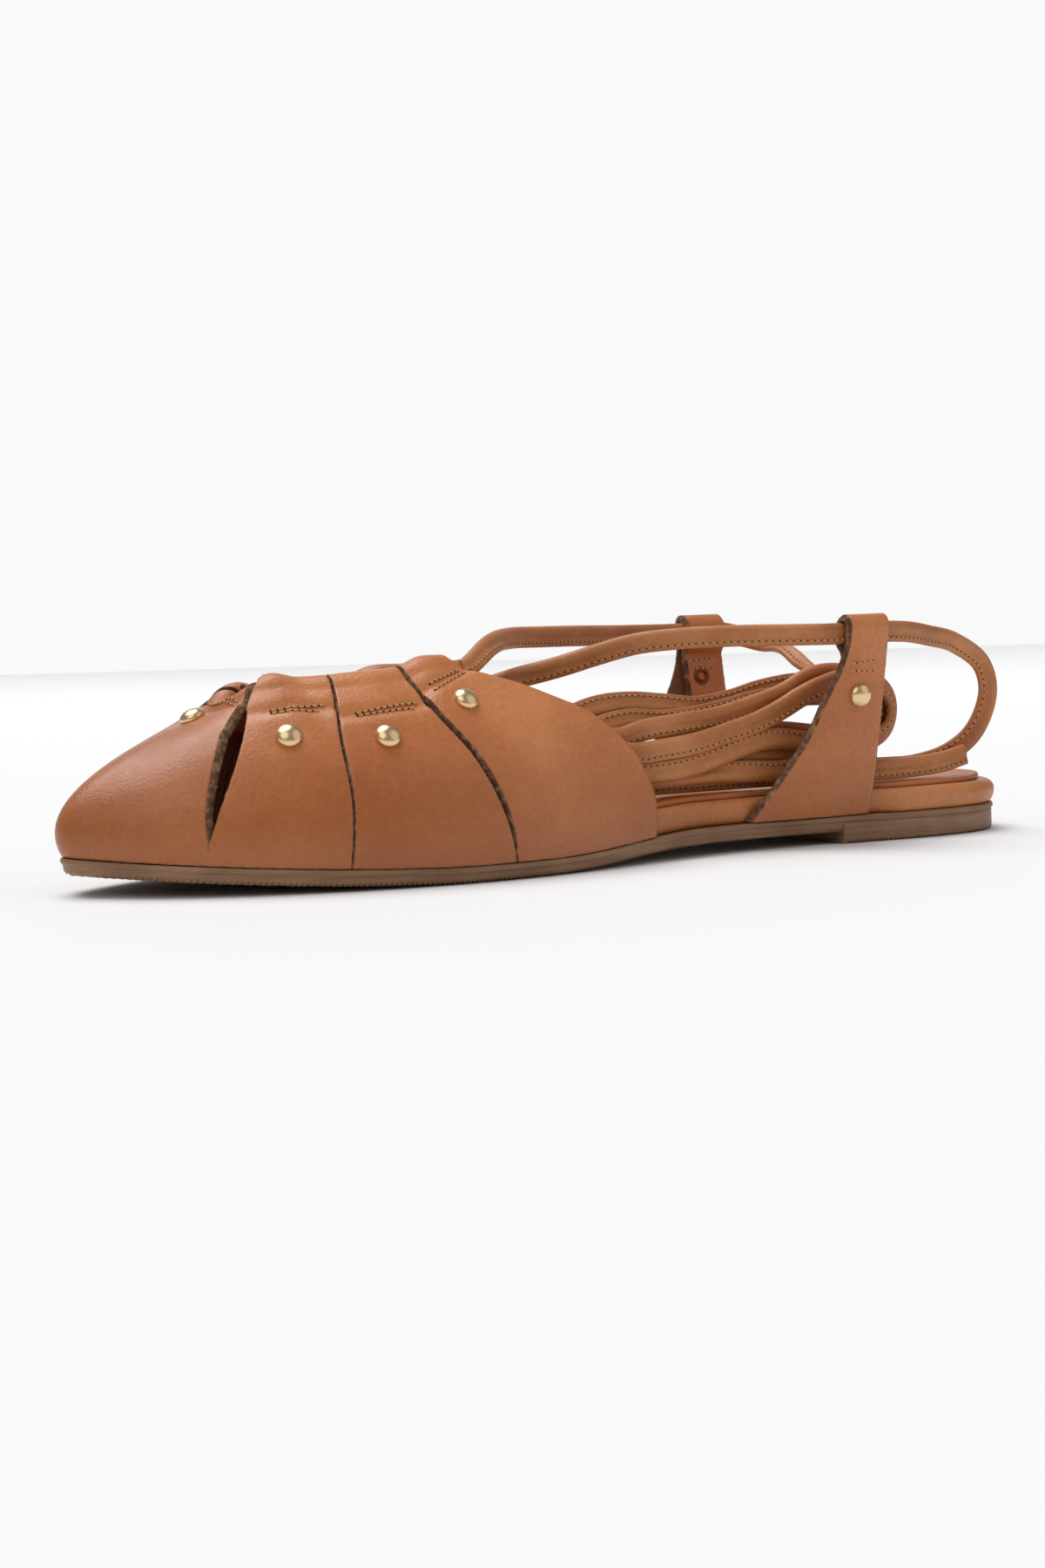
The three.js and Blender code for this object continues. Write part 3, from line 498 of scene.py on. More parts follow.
SOCK_ROWS = [(0.5, 0), (0, 0.15), (-0.08, 0.6), (0, 1.0), (0.25, 1.2), (0.8, 1.25), (2, 1.25), (3.5, 1.25),
             (5, 1.25), (9, 1.1)]
sock_rows = [sock_row(inset, rise) for inset, rise in SOCK_ROWS]
points, faces = sole_stack(even_turns(500), sock_rows)
sock = add_solid("sock_insole", points, faces, [sock_leather])
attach(sock, "root")
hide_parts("sock")

# Upper
# One piece of firm calf, slit three times a side into fingers. Each finger's end is folded in
# over the tie as a tunnel and held by two rows of stitches. All cut edges are raw and darker.
INSTEP_HEIGHT, MEDIAL_DROP, THROAT_WIDTH, THROAT_FRONT = 47.0, 2.4, 26.0, 177.0
NOSE_HALF, NOSE_LENGTH = 8.5, 5.5
LACE_WIDTH, TUNNEL_PROUD = 5.2, 0.7
BORE = (2.85, 1.85)
TUNNEL_WALL = 1.5
TOP_LINE = [(0.4, 1.14), (0.6, 1.1), (0.64, 1.087), (0.67, 1.084), (0.695, 1.041), (0.73, 1.03),
            (0.79, 1.013), (0.82, 1.029), (0.84, 0.905), (1, 0.6)]
THROAT = [(0.5, 0.385), (0.6, 0.365), (0.64, 0.392), (0.69, 0.462), (0.73, 0.5), (0.775, 0.45), (0.8, 0.365),
          (0.8135, 0.327)]
REAR_EDGE = [(-0.1, 0.462), (0.15, 0.462), (0.3, 0.461), (0.46, 0.471), (0.62, 0.491), (0.773, 0.524),
             (0.856, 0.556), (0.927, 0.586), (1.01, 0.63), (1.09, 0.65), (1.4, 0.66)]
SLITS = {  # rows: share of instep height, share of length, gap in thicknesses of the leather
    "front": [(0.0, 0.907, 0.0), (0.22, 0.907, 0.0), (0.25, 0.907, 0.15), (0.42, 0.898, 1.0),
              (0.6, 0.883, 1.7), (0.78, 0.863, 1.6), (0.9, 0.848, 1.0), (1.0, 0.828, 0.5), (1.15, 0.826, 0.4)],
    "middle": [(0.0, 0.794, 0.3), (0.13, 0.792, 0.35), (0.404, 0.787, 0.45), (0.705, 0.783, 0.45),
               (1.0, 0.766, 0.45), (1.15, 0.764, 0.5)],
    "rear": [(0.0, 0.634, 0.3), (0.13, 0.635, 0.4), (0.321, 0.642, 0.9), (0.578, 0.66, 1.1),
             (0.788, 0.682, 1.0), (0.984, 0.694, 0.75), (1.15, 0.7, 0.6)]}
REAR_EDGE = np.array(REAR_EDGE)
SLITS = {name: np.array(rows) for name, rows in SLITS.items()}
FRONT_SLIT = SLITS["front"]
half_turns = np.linspace(0, 0.5, 4001)
half_x = edge(half_turns, 0)[0]


def turn_at(x, side):
    """Turn of the outline on a side, 1 lateral or -1 medial, where it passes x."""
    t = np.interp(x, half_x, half_turns)
    return np.where(side > 0, t, 1 - t)


FAN_START = float(turn_at(THROAT_FRONT, 1))


def skin(turn, climb):
    """Outer face of the upper. turn runs round the sole, climb from the sole to the throat.
    Each section is a soft superellipse with a bulge; ahead of the throat they fan out."""
    turn, climb = np.broadcast_arrays(np.asarray(turn, float), np.asarray(climb, float))
    side = np.where(turn <= 0.5, 1.0, -1.0)
    half = np.where(side > 0, turn, 1 - turn)
    x, y = edge(turn, EDGE_STEP)
    z = seat(x) + GAP
    fan = np.maximum((half - FAN_START) / (0.5 - FAN_START), 0) * np.pi / 2
    share = (x + HEEL_SETBACK) / LENGTH
    top_x = np.where(fan > 0, THROAT_FRONT + NOSE_LENGTH * np.sin(fan), x)
    top_y = side * np.where(fan > 0, NOSE_HALF * np.cos(fan), THROAT_WIDTH * through(THROAT, share))
    top_z = INSTEP_HEIGHT * through(TOP_LINE, (top_x + HEEL_SETBACK) / LENGTH)
    top_z = top_z - MEDIAL_DROP * (1 - side * np.cos(fan)) / 2
    toe = ease(half, 0.9 * FAN_START, 0.5)
    end = (0.8 + 0.025 * toe) * np.pi / 2
    power, lift = 1.9 + 0.96 * toe, 0.9 + 0.13 * toe
    tail = np.cos(end) ** power
    angle = np.clip(climb, 0, 1) * end
    bulge = (0.05 + 0.14 * toe) * np.sin(np.clip(climb, 0, 1) * np.pi)
    reach = (np.cos(angle) ** power - tail) / (1 - tail) + bulge
    rise = (np.sin(angle) / np.sin(end)) ** lift
    return np.stack([top_x + (x - top_x) * reach, top_y + (y - top_y) * reach, z + (top_z - z) * rise], -1)


def skin_normal(turn, climb, step=0.004):
    """Outward unit normal of the skin, from small steps each way."""
    high = np.clip(climb + step, 2 * step, 1)
    round_ = skin(turn + step, climb) - skin(turn - step, climb)
    rise = skin(turn, high) - skin(turn, high - 2 * step)
    return unit(np.cross(rise, round_))


def tunnel_frame(turn):
    """Middle of the lace's tunnel at a turn, with its directions down the leather and outward."""
    fold = skin(turn, 1.0)
    down = unit(skin(turn, 0.72) - fold)
    normal = skin_normal(turn, 0.86)
    normal = unit(normal - down * (normal * down).sum(-1, keepdims=True))
    middle = fold + down * (BORE[0] + TUNNEL_WALL / 2) + normal * (TUNNEL_PROUD - BORE[1] - TUNNEL_WALL)
    return middle, down, normal


def cut_turn(line, side, climb, way):
    """Turn at each climb where the skin meets a cut seen from the side. way is -1 or 1 for the
    cut's rear or front lip. Found by halving the span of turns, since X grows with turn. The
    front slit ends beside the throat's nose."""
    low = np.full_like(climb, 0.12)
    high = np.full_like(climb, 0.4999)
    for _ in range(30):
        half = (low + high) / 2
        p = skin(half if side > 0 else 1 - half, climb)
        up = p[:, 2] / INSTEP_HEIGHT
        x = along(through(line[:, :2], up))
        if line.shape[1] > 2:
            x = x + way * through(line[:, [0, 2]], up) * LEATHER / 2
        if line is FRONT_SLIT and way > 0:
            x = x + 1.3 * ease(up, 0.2, 0.45) * (1 - ease(up, 0.78, 0.95))
        behind = p[:, 0] < x
        low, high = np.where(behind, half, low), np.where(behind, high, half)
    half = (low + high) / 2
    if line is FRONT_SLIT:
        half = np.where(climb > 0.6, np.minimum(half, 0.418 + 0.006 * way), half)
    return half if side > 0 else 1 - half


STUDS = [  # side, place along the sole's edge, drop down the leather in shares of 18 mm
    (1, 1.0, 0.59), (1, 0.833, 1.153), (1, 0.741, 1.228), (1, 0.65, 0.972),
    (-1, 0.826, 0.96), (-1, 0.739, 1.0), (-1, 0.647, 0.9)]


def down_skin(turn, drop):
    """Climb at which the skin has run a distance down from the throat's edge, and the point."""
    climbs = np.linspace(1, 0, 400)
    line = skin(np.full(400, turn), climbs)
    run = np.r_[0, np.cumsum(np.linalg.norm(np.diff(line, axis=0), axis=1))]
    climb = np.interp(drop, run, climbs)
    return climb, skin(np.array([turn]), np.array([climb]))[0]


stud_seats = []
for side, share, drop in STUDS:
    turn = float(turn_at(along(share), side))
    climb, place = down_skin(turn, drop * 18)
    stud_seats.append((place, skin_normal(np.array([turn]), np.array([climb]))[0]))

# Fingers from the toe back: cuts that bound them, columns, and how far below the fold their
# stitches lie at the rear and the front lip.
STITCH_DROP = {"toe": (7.4, 6.2), "front": (11.6, 13.8), "middle": (14.3, 14.8), "rear": (8.4, 11.2)}
STITCHES = {  # rows from the rear lip on: share of the finger's width and drop, at both ends
    "toe": [(0.05, 6.9, 0.93, 4.8), (0.04, 8.2, 0.93, 6.0)],
    "front": [(0.05, 10.7, 0.76, 13.3), (0.1, 12.6, 0.76, 13.9)],
    "middle": [(0.05, 13.6, 0.9, 14.5), (0.12, 15.0, 0.88, 15.1)],
    "rear": [(0.1, 7.8, 0.9, 9.9), (0.08, 9.3, 0.94, 12.3)]}
BEVEL = {"toe": (1.5, 1.0), "front": (0.0, 0.0), "middle": (0.0, 0.5), "rear": (0.0, 0.6)}
FOLD_ROWS, TAB_ROWS, SKIN_ROWS = 26, 7, 64


def soft_dents(points, normals):
    """Leather pulled down round each stud: a shallow dish, deepest at the stud's rim."""
    shift = np.zeros(points.shape[:-1])
    for place, _ in stud_seats:
        r = np.linalg.norm(points - place, axis=-1)
        shift -= 0.42 * np.exp(-(r / 4.6) ** 2)
    return points + normals * shift[..., None]


def finger(turn_low, turn_high, columns, drops):
    """Outer face of one finger: grid of rows from the sole, over the fold, to the tab's end.
    Returns the points and the arc below the fold at which each row lies."""
    u = np.linspace(0, 1, columns)
    drop = drops[0] + (drops[1] - drops[0]) * u
    climbs = np.linspace(0, 1, 400)
    turns = turn_low(climbs)[:, None] * (1 - u) + turn_high(climbs)[:, None] * u
    line = skin(turns, climbs[:, None] + 0 * turns)
    run = np.linalg.norm(np.diff(line, axis=0), axis=-1)
    below = np.vstack([np.cumsum(run[::-1], axis=0)[::-1], np.zeros(columns)])
    rows = []
    full = below[0]
    crest = BORE[0] + TUNNEL_WALL / 2
    w = np.linspace(0, 1, SKIN_ROWS)
    arcs = full[None] + (crest - full[None]) * w[:, None]
    top_turn = turn_low(np.ones(1))[0] * (1 - u) + turn_high(np.ones(1))[0] * u
    for arc in arcs:
        climb = np.array([np.interp(-a, -below[:, k], climbs) for k, a in enumerate(arc)])
        t = np.array([np.interp(c, climbs, turns[:, k]) for k, c in enumerate(climb)])
        p = skin(t, climb)
        n = skin_normal(t, climb)
        middle, down, normal = tunnel_frame(t)
        a = ((p - middle) * down).sum(-1)
        b = ((p - middle) * normal).sum(-1)
        A, B = BORE[0] + TUNNEL_WALL, BORE[1] + TUNNEL_WALL
        roll = B * np.sqrt(np.clip(1 - (np.clip(a, 0, A) / A) ** 2, 0, 1))
        over = np.where(a < A, np.maximum(roll - b, 0), 0)
        p = p + normal * over[:, None]
        groove = np.exp(-((arc - drop) / 1.7) ** 2) * 0.75
        p = p - n * groove[:, None]
        rows.append(p)
    for angle in np.linspace(np.pi / 2, 1.62 * np.pi, FOLD_ROWS)[1:]:
        share = ease(angle, np.pi / 2, np.pi)
        middle, down, normal = tunnel_frame(t + (top_turn - t) * share)
        rows.append(middle + down * A * np.cos(angle) + normal * B * np.sin(angle))
    start = rows[-1]
    for k in range(1, TAB_ROWS + 1):
        s = k / TAB_ROWS
        arc = crest + 2.5 + (drop + 3.0 - crest - 2.5) * s
        climb = np.array([np.interp(-a, -below[:, j], climbs) for j, a in enumerate(arc)])
        back = np.array([np.interp(c, climbs, turns[:, j]) for j, c in enumerate(climb)])
        inner = skin(back, climb) - skin_normal(back, climb) * (2 * LEATHER + 0.15)
        f = ease(s, 0, 0.6)
        rows.append((start + down * (arc - crest - 2.5)[:, None]) * (1 - f) + inner * f)
    return np.stack(rows), arcs


def on_finger(grid, arcs, row, flip):
    """A stitch row's line on a finger's grain side, seen straight between two ends that are
    given as shares of its width and drops below the fold."""
    last = grid.shape[1] - 1
    first, final = ((1 - share if flip else share) * last for share in (row[0], row[2]))
    near = [int(round(first)), int(round(final))]
    ends = np.array([[np.interp(-drop, -arcs[:, k], grid[:len(arcs), k, m]) for m in range(3)]
                     for k, drop in zip(near, (row[1], row[3]))])
    facing = -grid_normals(grid)[40, sum(near) // 2]
    across = np.cross(ends[1] - ends[0], facing)
    place = []
    for k in range(near[0], near[1], 1 if near[1] > near[0] else -1):
        line = grid[:len(arcs), k]
        rows = np.where((arcs[:, k] > 4) & (arcs[:, k] < 22))[0]
        side = (line[rows] - ends[0]) @ across
        i = int(np.argmin(np.abs(side)))
        rising = side[i] * (side[min(i + 1, len(side) - 1)] - side[i]) >= 0
        j = min(max(i + (-1 if rising else 1), 0), len(side) - 1)
        share = side[i] / (side[i] - side[j]) if side[i] != side[j] else 0.0
        place.append(line[rows[i]] + (line[rows[j]] - line[rows[i]]) * np.clip(share, 0, 1))
    return np.array(place)


def grid_normals(grid):
    """Unit normals of a grid of points, from its differences along rows and columns."""
    return unit(np.cross(np.gradient(grid, axis=1), np.gradient(grid, axis=0)))


def raw_sheet(outer, thickness, bulge, seed, bevel=(0, 0)):
    """A sheet of leather from a grid of its grain side, columns running clockwise seen from
    outside: grain side, flesh side, and between them a raw rim that stands out a little and
    is slightly rough. The flesh side stands past the first and last columns by the bevels.
    Returns points, quads and a material index for each quad."""
    normals = -grid_normals(outer)
    inner = outer - normals * thickness
    inner[:, 0] += unit(outer[:, 0] - outer[:, 1]) * bevel[0]
    inner[:, -1] += unit(outer[:, -1] - outer[:, -2]) * bevel[1]
    rows, columns = outer.shape[:2]
    index = np.arange(rows * columns).reshape(rows, columns)
    border = np.r_[index[0, :-1], index[:-1, -1], index[-1, :0:-1], index[:0:-1, 0]]
    out, back = outer.reshape(-1, 3)[border], inner.reshape(-1, 3)[border]
    run = unit(np.roll(out, -1, 0) - np.roll(out, 1, 0))
    away = unit(np.cross(normals.reshape(-1, 3)[border], run))
    rng = np.random.default_rng(seed)
    rims = [out + (back - out) * share + away * (bulge * stand + rng.normal(0, 0.05, (len(border), 1)))
            for share, stand in [(0.1, 0.75), (0.3, 1.0), (0.5, 1.05), (0.7, 1.0), (0.9, 0.75)]]
    points = np.vstack([outer.reshape(-1, 3), inner.reshape(-1, 3), *rims])
    grain = ring_faces(rows, columns, closed=False)
    flesh = grain[:, ::-1] + rows * columns
    n = len(border)
    between = [2 * rows * columns + k * n + np.arange(n) for k in range(len(rims))]
    loops = [border, *between, border + rows * columns]
    rim = np.vstack([np.stack([a, b, np.roll(b, -1), np.roll(a, -1)], -1)
                     for a, b in zip(loops, loops[1:])])
    quads = np.vstack([grain, flesh, rim])[:, ::-1]
    kinds = np.r_[np.zeros(len(grain)), np.ones(len(flesh)), np.full(len(rim), 2)].astype(int)
    return points, quads, kinds


def join(parts):
    """Joins (points, faces, kinds) sets into one."""
    points, faces, kinds, start = [], [], [], 0
    for p, f, k in parts:
        points.append(p)
        faces.append(outward(p, f) + start)
        kinds.append(k)
        start += len(p)
    return np.vstack(points), np.vstack(faces), np.concatenate(kinds)


# Its burnish share also paints shade low on the upper and the straps.
calf = leather("tan_calf_vamp", "#a85b25", "#ba6c35", "#ca7f48",
               depth=0.00026, rough=0.4, coat=0.32, toe_burnish_and_low_shade=0.55)
flesh = leather("calf_flesh_side", "#6d4529", "#80543a", "#8f6244",
                grain=0.35, depth=0.0003, rough=0.85, coat=0.0)
raw_edge = leather("calf_raw_cut_edge", "#4e3322", "#6b4a33", "#a07a5a",
                   grain=0.3, mottle=600.0, depth=0.0005, rough=0.9, coat=0.0)


def smooth_along(values, width):
    """Values smoothed along a path with a bell of that many steps."""
    bell = np.exp(-np.linspace(-2, 2, 4 * width + 1) ** 2)
    padded = np.vstack([np.repeat(values[:1], 2 * width, 0), values, np.repeat(values[-1:], 2 * width, 0)])
    return np.stack([np.convolve(padded[:, k], bell / bell.sum(), "valid") for k in range(3)], -1)


def stitch_row(line, outward, pitch, length, radius, phase=0.0, sides=6):
    """Stitches along a line: short rounded threads lying on the surface, sunk at both ends."""
    run = np.r_[0, np.cumsum(np.linalg.norm(np.diff(line, axis=0), axis=1))]
    centres = np.arange(pitch * (0.5 + phase), run[-1] - length / 2, pitch)
    if not len(centres):
        return np.zeros((0, 3)), np.zeros((0, 4), int), np.zeros(0, int)
    s = np.linspace(-0.5, 0.5, 7)
    at_run = centres[:, None] + s[None] * length
    place = np.stack([np.interp(at_run, run, line[:, k]) for k in range(3)], -1)
    out = unit(np.stack([np.interp(at_run, run, outward[:, k]) for k in range(3)], -1))
    ahead = unit(np.gradient(place, axis=1))
    across = unit(np.cross(out, ahead))
    arch = 1 - (2 * s) ** 4
    thick = radius * (0.35 + 0.65 * np.sqrt(np.clip(1 - (2 * s) ** 2, 0, 1)))
    centre = place + out * (radius * (0.75 * arch - 0.75))[None, :, None]
    a = np.linspace(0, 2 * np.pi, sides, endpoint=False)
    points = (centre[:, :, None] + across[:, :, None] * (thick[None, :, None] * np.cos(a))[..., None]
              + out[:, :, None] * (thick[None, :, None] * np.sin(a))[..., None])
    one = ring_faces(len(s), sides)
    faces = (one[None] + (np.arange(len(centres)) * len(s) * sides)[:, None, None]).reshape(-1, 4)
    return points.reshape(-1, 3), faces[:, ::-1], np.zeros(len(faces), int)


def stitches(line, out, pitch=1.6, length=1.35, radius=0.36):
    """A row of stitches with dark marks between them, painted shade for the awl holes, as two sets for join.
    """
    points, faces, kinds = stitch_row(line, out, pitch, length, radius)
    hole_shade_spots, rims, dark = stitch_row(line, out, pitch, 0.5, radius * 0.75, phase=0.5)
    return [(points, faces, kinds + 3), (hole_shade_spots, rims, dark + 4)]


thread_tan = plain("waxed_thread_tan", "#c08850", 0.6)
# Painted shade: the dark spots between stitches stand for the shadow inside the awl holes.
hole_shade = plain("awl_hole_painted_shade", "#3a2214", 0.95)


def cut(name, side, way):
    """The turn function of one lip of a slit, or of the upper's rear edge."""
    line = REAR_EDGE if name == "back" else SLITS[name]
    return lambda climbs: cut_turn(line, side, climbs, way)


fingers = []
for side in (1, -1):
    for name, (rear, front), columns in [("rear", ("back", "rear"), 64), ("middle", ("rear", "middle"), 40),
                                         ("front", ("middle", "front"), 40)]:
        lips = [cut(rear, side, 1), cut(front, side, -1)]
        drops = STITCH_DROP[name]
        if side < 0:
            lips, drops = lips[::-1], drops[::-1]
        fingers.append((name, side, finger(*lips, columns, drops)))
fingers.append(("toe", 0, finger(cut("front", 1, 1), cut("front", -1, 1), 130, STITCH_DROP["toe"])))
parts = []
for k, (name, side, (grid, arcs)) in enumerate(fingers):
    grid = soft_dents(grid, -grid_normals(grid))
    bevel = BEVEL[name] if side >= 0 else BEVEL[name][::-1]
    parts.append(raw_sheet(grid, LEATHER, 0.25, 100 + k, bevel))
    for row in STITCHES[name]:
        line = on_finger(grid, arcs, row, side < 0)
        line = smooth_along(line, 2)
        out = unit(np.cross(np.gradient(line, axis=0), [0, 0, 1.0]))
        out = unit(out * np.sign((out * (line - [150, 0, 0])).sum(-1, keepdims=True)) + [0, 0, 0.9])
        parts += stitches(line + out * 0.12, out)
points, faces, kinds = join(parts)
sewn_finishes = [calf, flesh, raw_edge, thread_tan, hole_shade]
upper = add_mesh("upper_vamp", points, faces, sewn_finishes, kinds, sharp=48)
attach(upper, "root")
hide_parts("upper")

# Heel straps
# Two leaning calf straps lasted under the platform's sides. The top of each is folded inward
# and down as a narrower tab, which leaves a loop for the tie, and is stitched and riveted.
STRAP_HEIGHT, STRAP_TOP_WIDTH, STRAP_FOOT_WIDTH, STRAP_LEAN = 49.2, 11.0, 34.5, 10.5
STRAP_REAR = {1: 22.5, -1: 30.0}
STRAP_TAB, TAB_LEATHER = 25.0, 1.3
STRAP_STUD = {1: (7.1, 29.4), -1: (7.2, 32.8)}  # ahead of the strap's rear edge, above its foot
STRAP_STITCHES = [(10.5, 37.2, 3.0, 38.0), (10.5, 35.5, 3.0, 35.3)]
STRAP_FRONT = [(0, 1), (0.08, 0.87), (0.22, 0.65), (0.4, 0.4), (0.57, 0.235), (0.71, 0.085), (0.85, 0),
               (1, 0)]
STRAP_OUT = [(0, 0), (0.08, 0.12), (0.22, 0.29), (0.4, 0.48), (0.57, 0.64), (0.71, 0.76), (0.85, 0.88),
             (1, 1)]
STRAP_FOOT = HEEL_HEIGHT + GAP
STRAP_TOP = STRAP_FOOT + STRAP_HEIGHT
LOOP_DEPTH = LEATHER + 2 * BORE[1] + TAB_LEATHER
LOOP_HEIGHT = STRAP_TOP - LEATHER - BORE[0]


def strap_face(side, z):
    """Distance of a strap's outer face from the shoe's middle line at height z."""
    foot = abs(edge(turn_at(STRAP_REAR[side] + STRAP_TOP_WIDTH / 2, side), EDGE_STEP)[1])
    return foot + STRAP_LEAN * through(STRAP_OUT, (z - STRAP_FOOT) / STRAP_HEIGHT)


def strap_path():
    """Side-on path of a strap's grain side as (depth inward, height, share of the tab): up the
    outer face, round the loop, in to the strap again and down to the tab's end."""
    R = LOOP_DEPTH / 2
    rise = [(0.0, z, 0.0) for z in np.linspace(STRAP_FOOT, STRAP_TOP - R, 60)]
    arch = [(R - R * np.cos(a), STRAP_TOP - R + R * np.sin(a) * 0.98, a / np.pi)
            for a in np.linspace(0, np.pi, 24)[1:]]
    layers = LEATHER + TAB_LEATHER + 0.5
    loop_foot = LOOP_HEIGHT - BORE[0]
    fall = []
    for z in np.linspace(STRAP_TOP - R, STRAP_TOP - STRAP_TAB, 40)[1:]:
        fall.append((layers + (LOOP_DEPTH - layers) * ease(z, loop_foot - 3.2, loop_foot + 1.2), z, 1.0))
    return np.array(rise + arch + fall)


def strap_grid(side, columns=28):
    """Grid of a strap's grain side. The tab keeps the strap's top width all the way down."""
    path = strap_path()
    up = np.clip((path[:, 1] - STRAP_FOOT) / STRAP_HEIGHT, 0, 1)
    wide = STRAP_TOP_WIDTH + (STRAP_FOOT_WIDTH - STRAP_TOP_WIDTH) * through(STRAP_FRONT, up)
    wide = np.where(path[:, 2] > 0.5, STRAP_TOP_WIDTH - 0.5, wide)
    start = STRAP_REAR[side] + np.where(path[:, 2] > 0.5, 0.3, 0.0)
    x = start[:, None] + wide[:, None] * np.linspace(0, 1, columns)
    y = side * (strap_face(side, np.minimum(path[:, 1], STRAP_TOP)) - path[:, 0])
    bow = 0.5 * np.sin(np.linspace(0, np.pi, columns))[None] * (1 - path[:, 2][:, None])
    grid = np.stack([x, y[:, None] + side * bow, np.broadcast_to(path[:, 1][:, None], x.shape)], -1)
    return grid if side > 0 else grid[:, ::-1]


strap_studs = []
for side, name in ((1, "lateral"), (-1, "medial")):
    ahead_of, z = STRAP_STUD[side]
    z += STRAP_FOOT
    slope = (strap_face(side, z + 1) - strap_face(side, z - 1)) / 2
    place = np.array([STRAP_REAR[side] + ahead_of, side * (strap_face(side, z) + 0.35), z])
    facing = unit(np.array([0, side, -slope]))
    strap_studs.append((place, facing))
    grid = strap_grid(side)
    r = np.linalg.norm(grid - place, axis=-1)
    grid = grid - facing * (0.35 * np.exp(-(r / 4.2) ** 2))[..., None]
    bevel = (0, 0.8) if side > 0 else (0.8, 0)
    parts = [raw_sheet(grid, LEATHER * 0.9, 0.22, 200 + side, bevel)]
    for x0, z0, x1, z1 in STRAP_STITCHES:
        share = np.linspace(0, 1, 30)
        z = STRAP_FOOT + z0 + (z1 - z0) * share
        for depth, way in ((-0.35, 1), (LEATHER + TAB_LEATHER + 0.45, -1)):
            x = STRAP_REAR[side] + x0 + (x1 - x0) * share
            line = np.stack([x, side * (strap_face(side, z) - depth), z], -1)
            parts += stitches(line, np.tile(facing * way, (30, 1)))
    points, faces, kinds = join(parts)
    strap = add_mesh("strap_" + name, points, faces, sewn_finishes, kinds, sharp=48)
    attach(strap, "root")
    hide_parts("heel_strap_" + name)

# Studs
# Nine turned brass domes with a satin polish, riveted through the leather. Behind each strap
# the rivet shows its burr, a small hollow ring of dark copper.
STUD_RADIUS, STUD_HEIGHT = 3.0, 1.95
brass, tree, shader, spot = new_material("polished_pale_brass")
shader.inputs["Base Color"].default_value = linear("#e8c89a")
shader.inputs["Metallic"].default_value = 1.0
tree.links.new(remap(tree, noise(tree, spot, 900.0, 3.0), 0, 1, 0.2, 0.32), shader.inputs["Roughness"])


def turned(profile, place, facing, sides=40):
    """A profile of (radius, height) turned about the facing direction, closed at its ends."""
    profile = np.asarray(profile, float)
    side = unit(np.cross(facing, np.array([0.3, 0.2, 1.0])))
    other = np.cross(facing, side)
    a = np.linspace(0, 2 * np.pi, sides, endpoint=False)
    around = side[None] * np.cos(a)[:, None] + other[None] * np.sin(a)[:, None]
    points = place + around[None] * profile[:, 0][:, None, None] + facing * profile[:, 1][:, None, None]
    return points.reshape(-1, 3), ring_faces(len(profile), sides), np.zeros((len(profile) - 1) * sides, int)


bend = np.linspace(0, np.pi / 2, 14)
dome = [(0.02, -0.6), (STUD_RADIUS - 0.1, -0.6), (STUD_RADIUS, -0.2)]
dome += [(STUD_RADIUS * np.cos(a) + 0.002, STUD_HEIGHT * np.sin(a)) for a in bend]
tube = np.linspace(0, 2 * np.pi, 13)
parts = [turned(dome, p, n) for p, n in stud_seats + strap_studs]
BURR = 4.1  # depth of the burrs behind the strap studs
burr_ring = [(1.35 + 0.35 * np.cos(a), -BURR - 0.4 * np.sin(a)) for a in tube]
WASHER_ROWS = [(1.9, 0), (2.4, 0.1), (2.4, 0.5), (1.9, 0.5), (1.9, 0)]
washer = [(radius, height - BURR) for radius, height in WASHER_ROWS]
for p, n in strap_studs:
    for profile in (burr_ring, washer):
        points, faces, kinds = turned(profile, p, n)
        parts.append((points, faces, kinds + 1))
points, faces, kinds = join(parts)
copper = plain("dark_copper_burr", "#7d4a30", 0.45, metallic=1.0)
studs = add_mesh("studs_brass", points, faces, [brass, copper], kinds, sharp=60)
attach(studs, "root")
names = ["stud_%s_%s" % (side, row) for side in ("lateral", "medial")
         for row in ("front", "middle", "rear", "strap")]
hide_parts("stud_toe", *names)

# Tie
# One long strip of thin calf, folded to a round edge and stitched along the other, which
# stands out as a small flange. It runs through the tunnels; its two ends run back through the
# strap loops and lie looped together on the sock, and one cut end shows at the heel.
lace_leather = leather("tan_calf_tie", "#9c5c2e", "#b06d3c", "#c07f4e", grain=0.5, mottle=45.0)
lace_edge = leather("tie_cut_edge", "#6b4226", "#84573a", "#9a6e4c",
                    grain=0.3, mottle=700.0, depth=0.0004, rough=0.9, coat=0.0)


def blend_at(t, start, end, first, last):
    """Straight blend of two points at a place t between start and end."""
    return (end - t) / (end - start) * first + (t - start) / (end - start) * last


def smooth_path(points, step=1.0):
    """A path through the points with even steps, from a spline with centripetal spacing."""
    points = np.asarray(points, float)
    ends = np.vstack([2 * points[0] - points[1], points, 2 * points[-1] - points[-2]])
    gap = np.linalg.norm(np.diff(ends, axis=0), axis=1) ** 0.5
    knot = np.r_[0, np.cumsum(gap)]
    fine = []
    for i in range(1, len(ends) - 2):
        t = np.linspace(knot[i], knot[i + 1], 30, endpoint=False)[:, None]
        k = knot[i - 1:i + 3]
        p = ends[i - 1:i + 3]
        a = [blend_at(t, k[j], k[j + 1], p[j], p[j + 1]) for j in range(3)]
        b = [blend_at(t, k[j], k[j + 2], a[j], a[j + 1]) for j in range(2)]
        fine.append(blend_at(t, k[1], k[2], b[0], b[1]))
    fine = np.vstack([*fine, points[-1:]])
    run = np.r_[0, np.cumsum(np.linalg.norm(np.diff(fine, axis=0), axis=1))]
    even = np.linspace(0, run[-1], int(run[-1] / step) + 1)
    return np.stack([np.interp(even, run, fine[:, k]) for k in range(3)], -1)


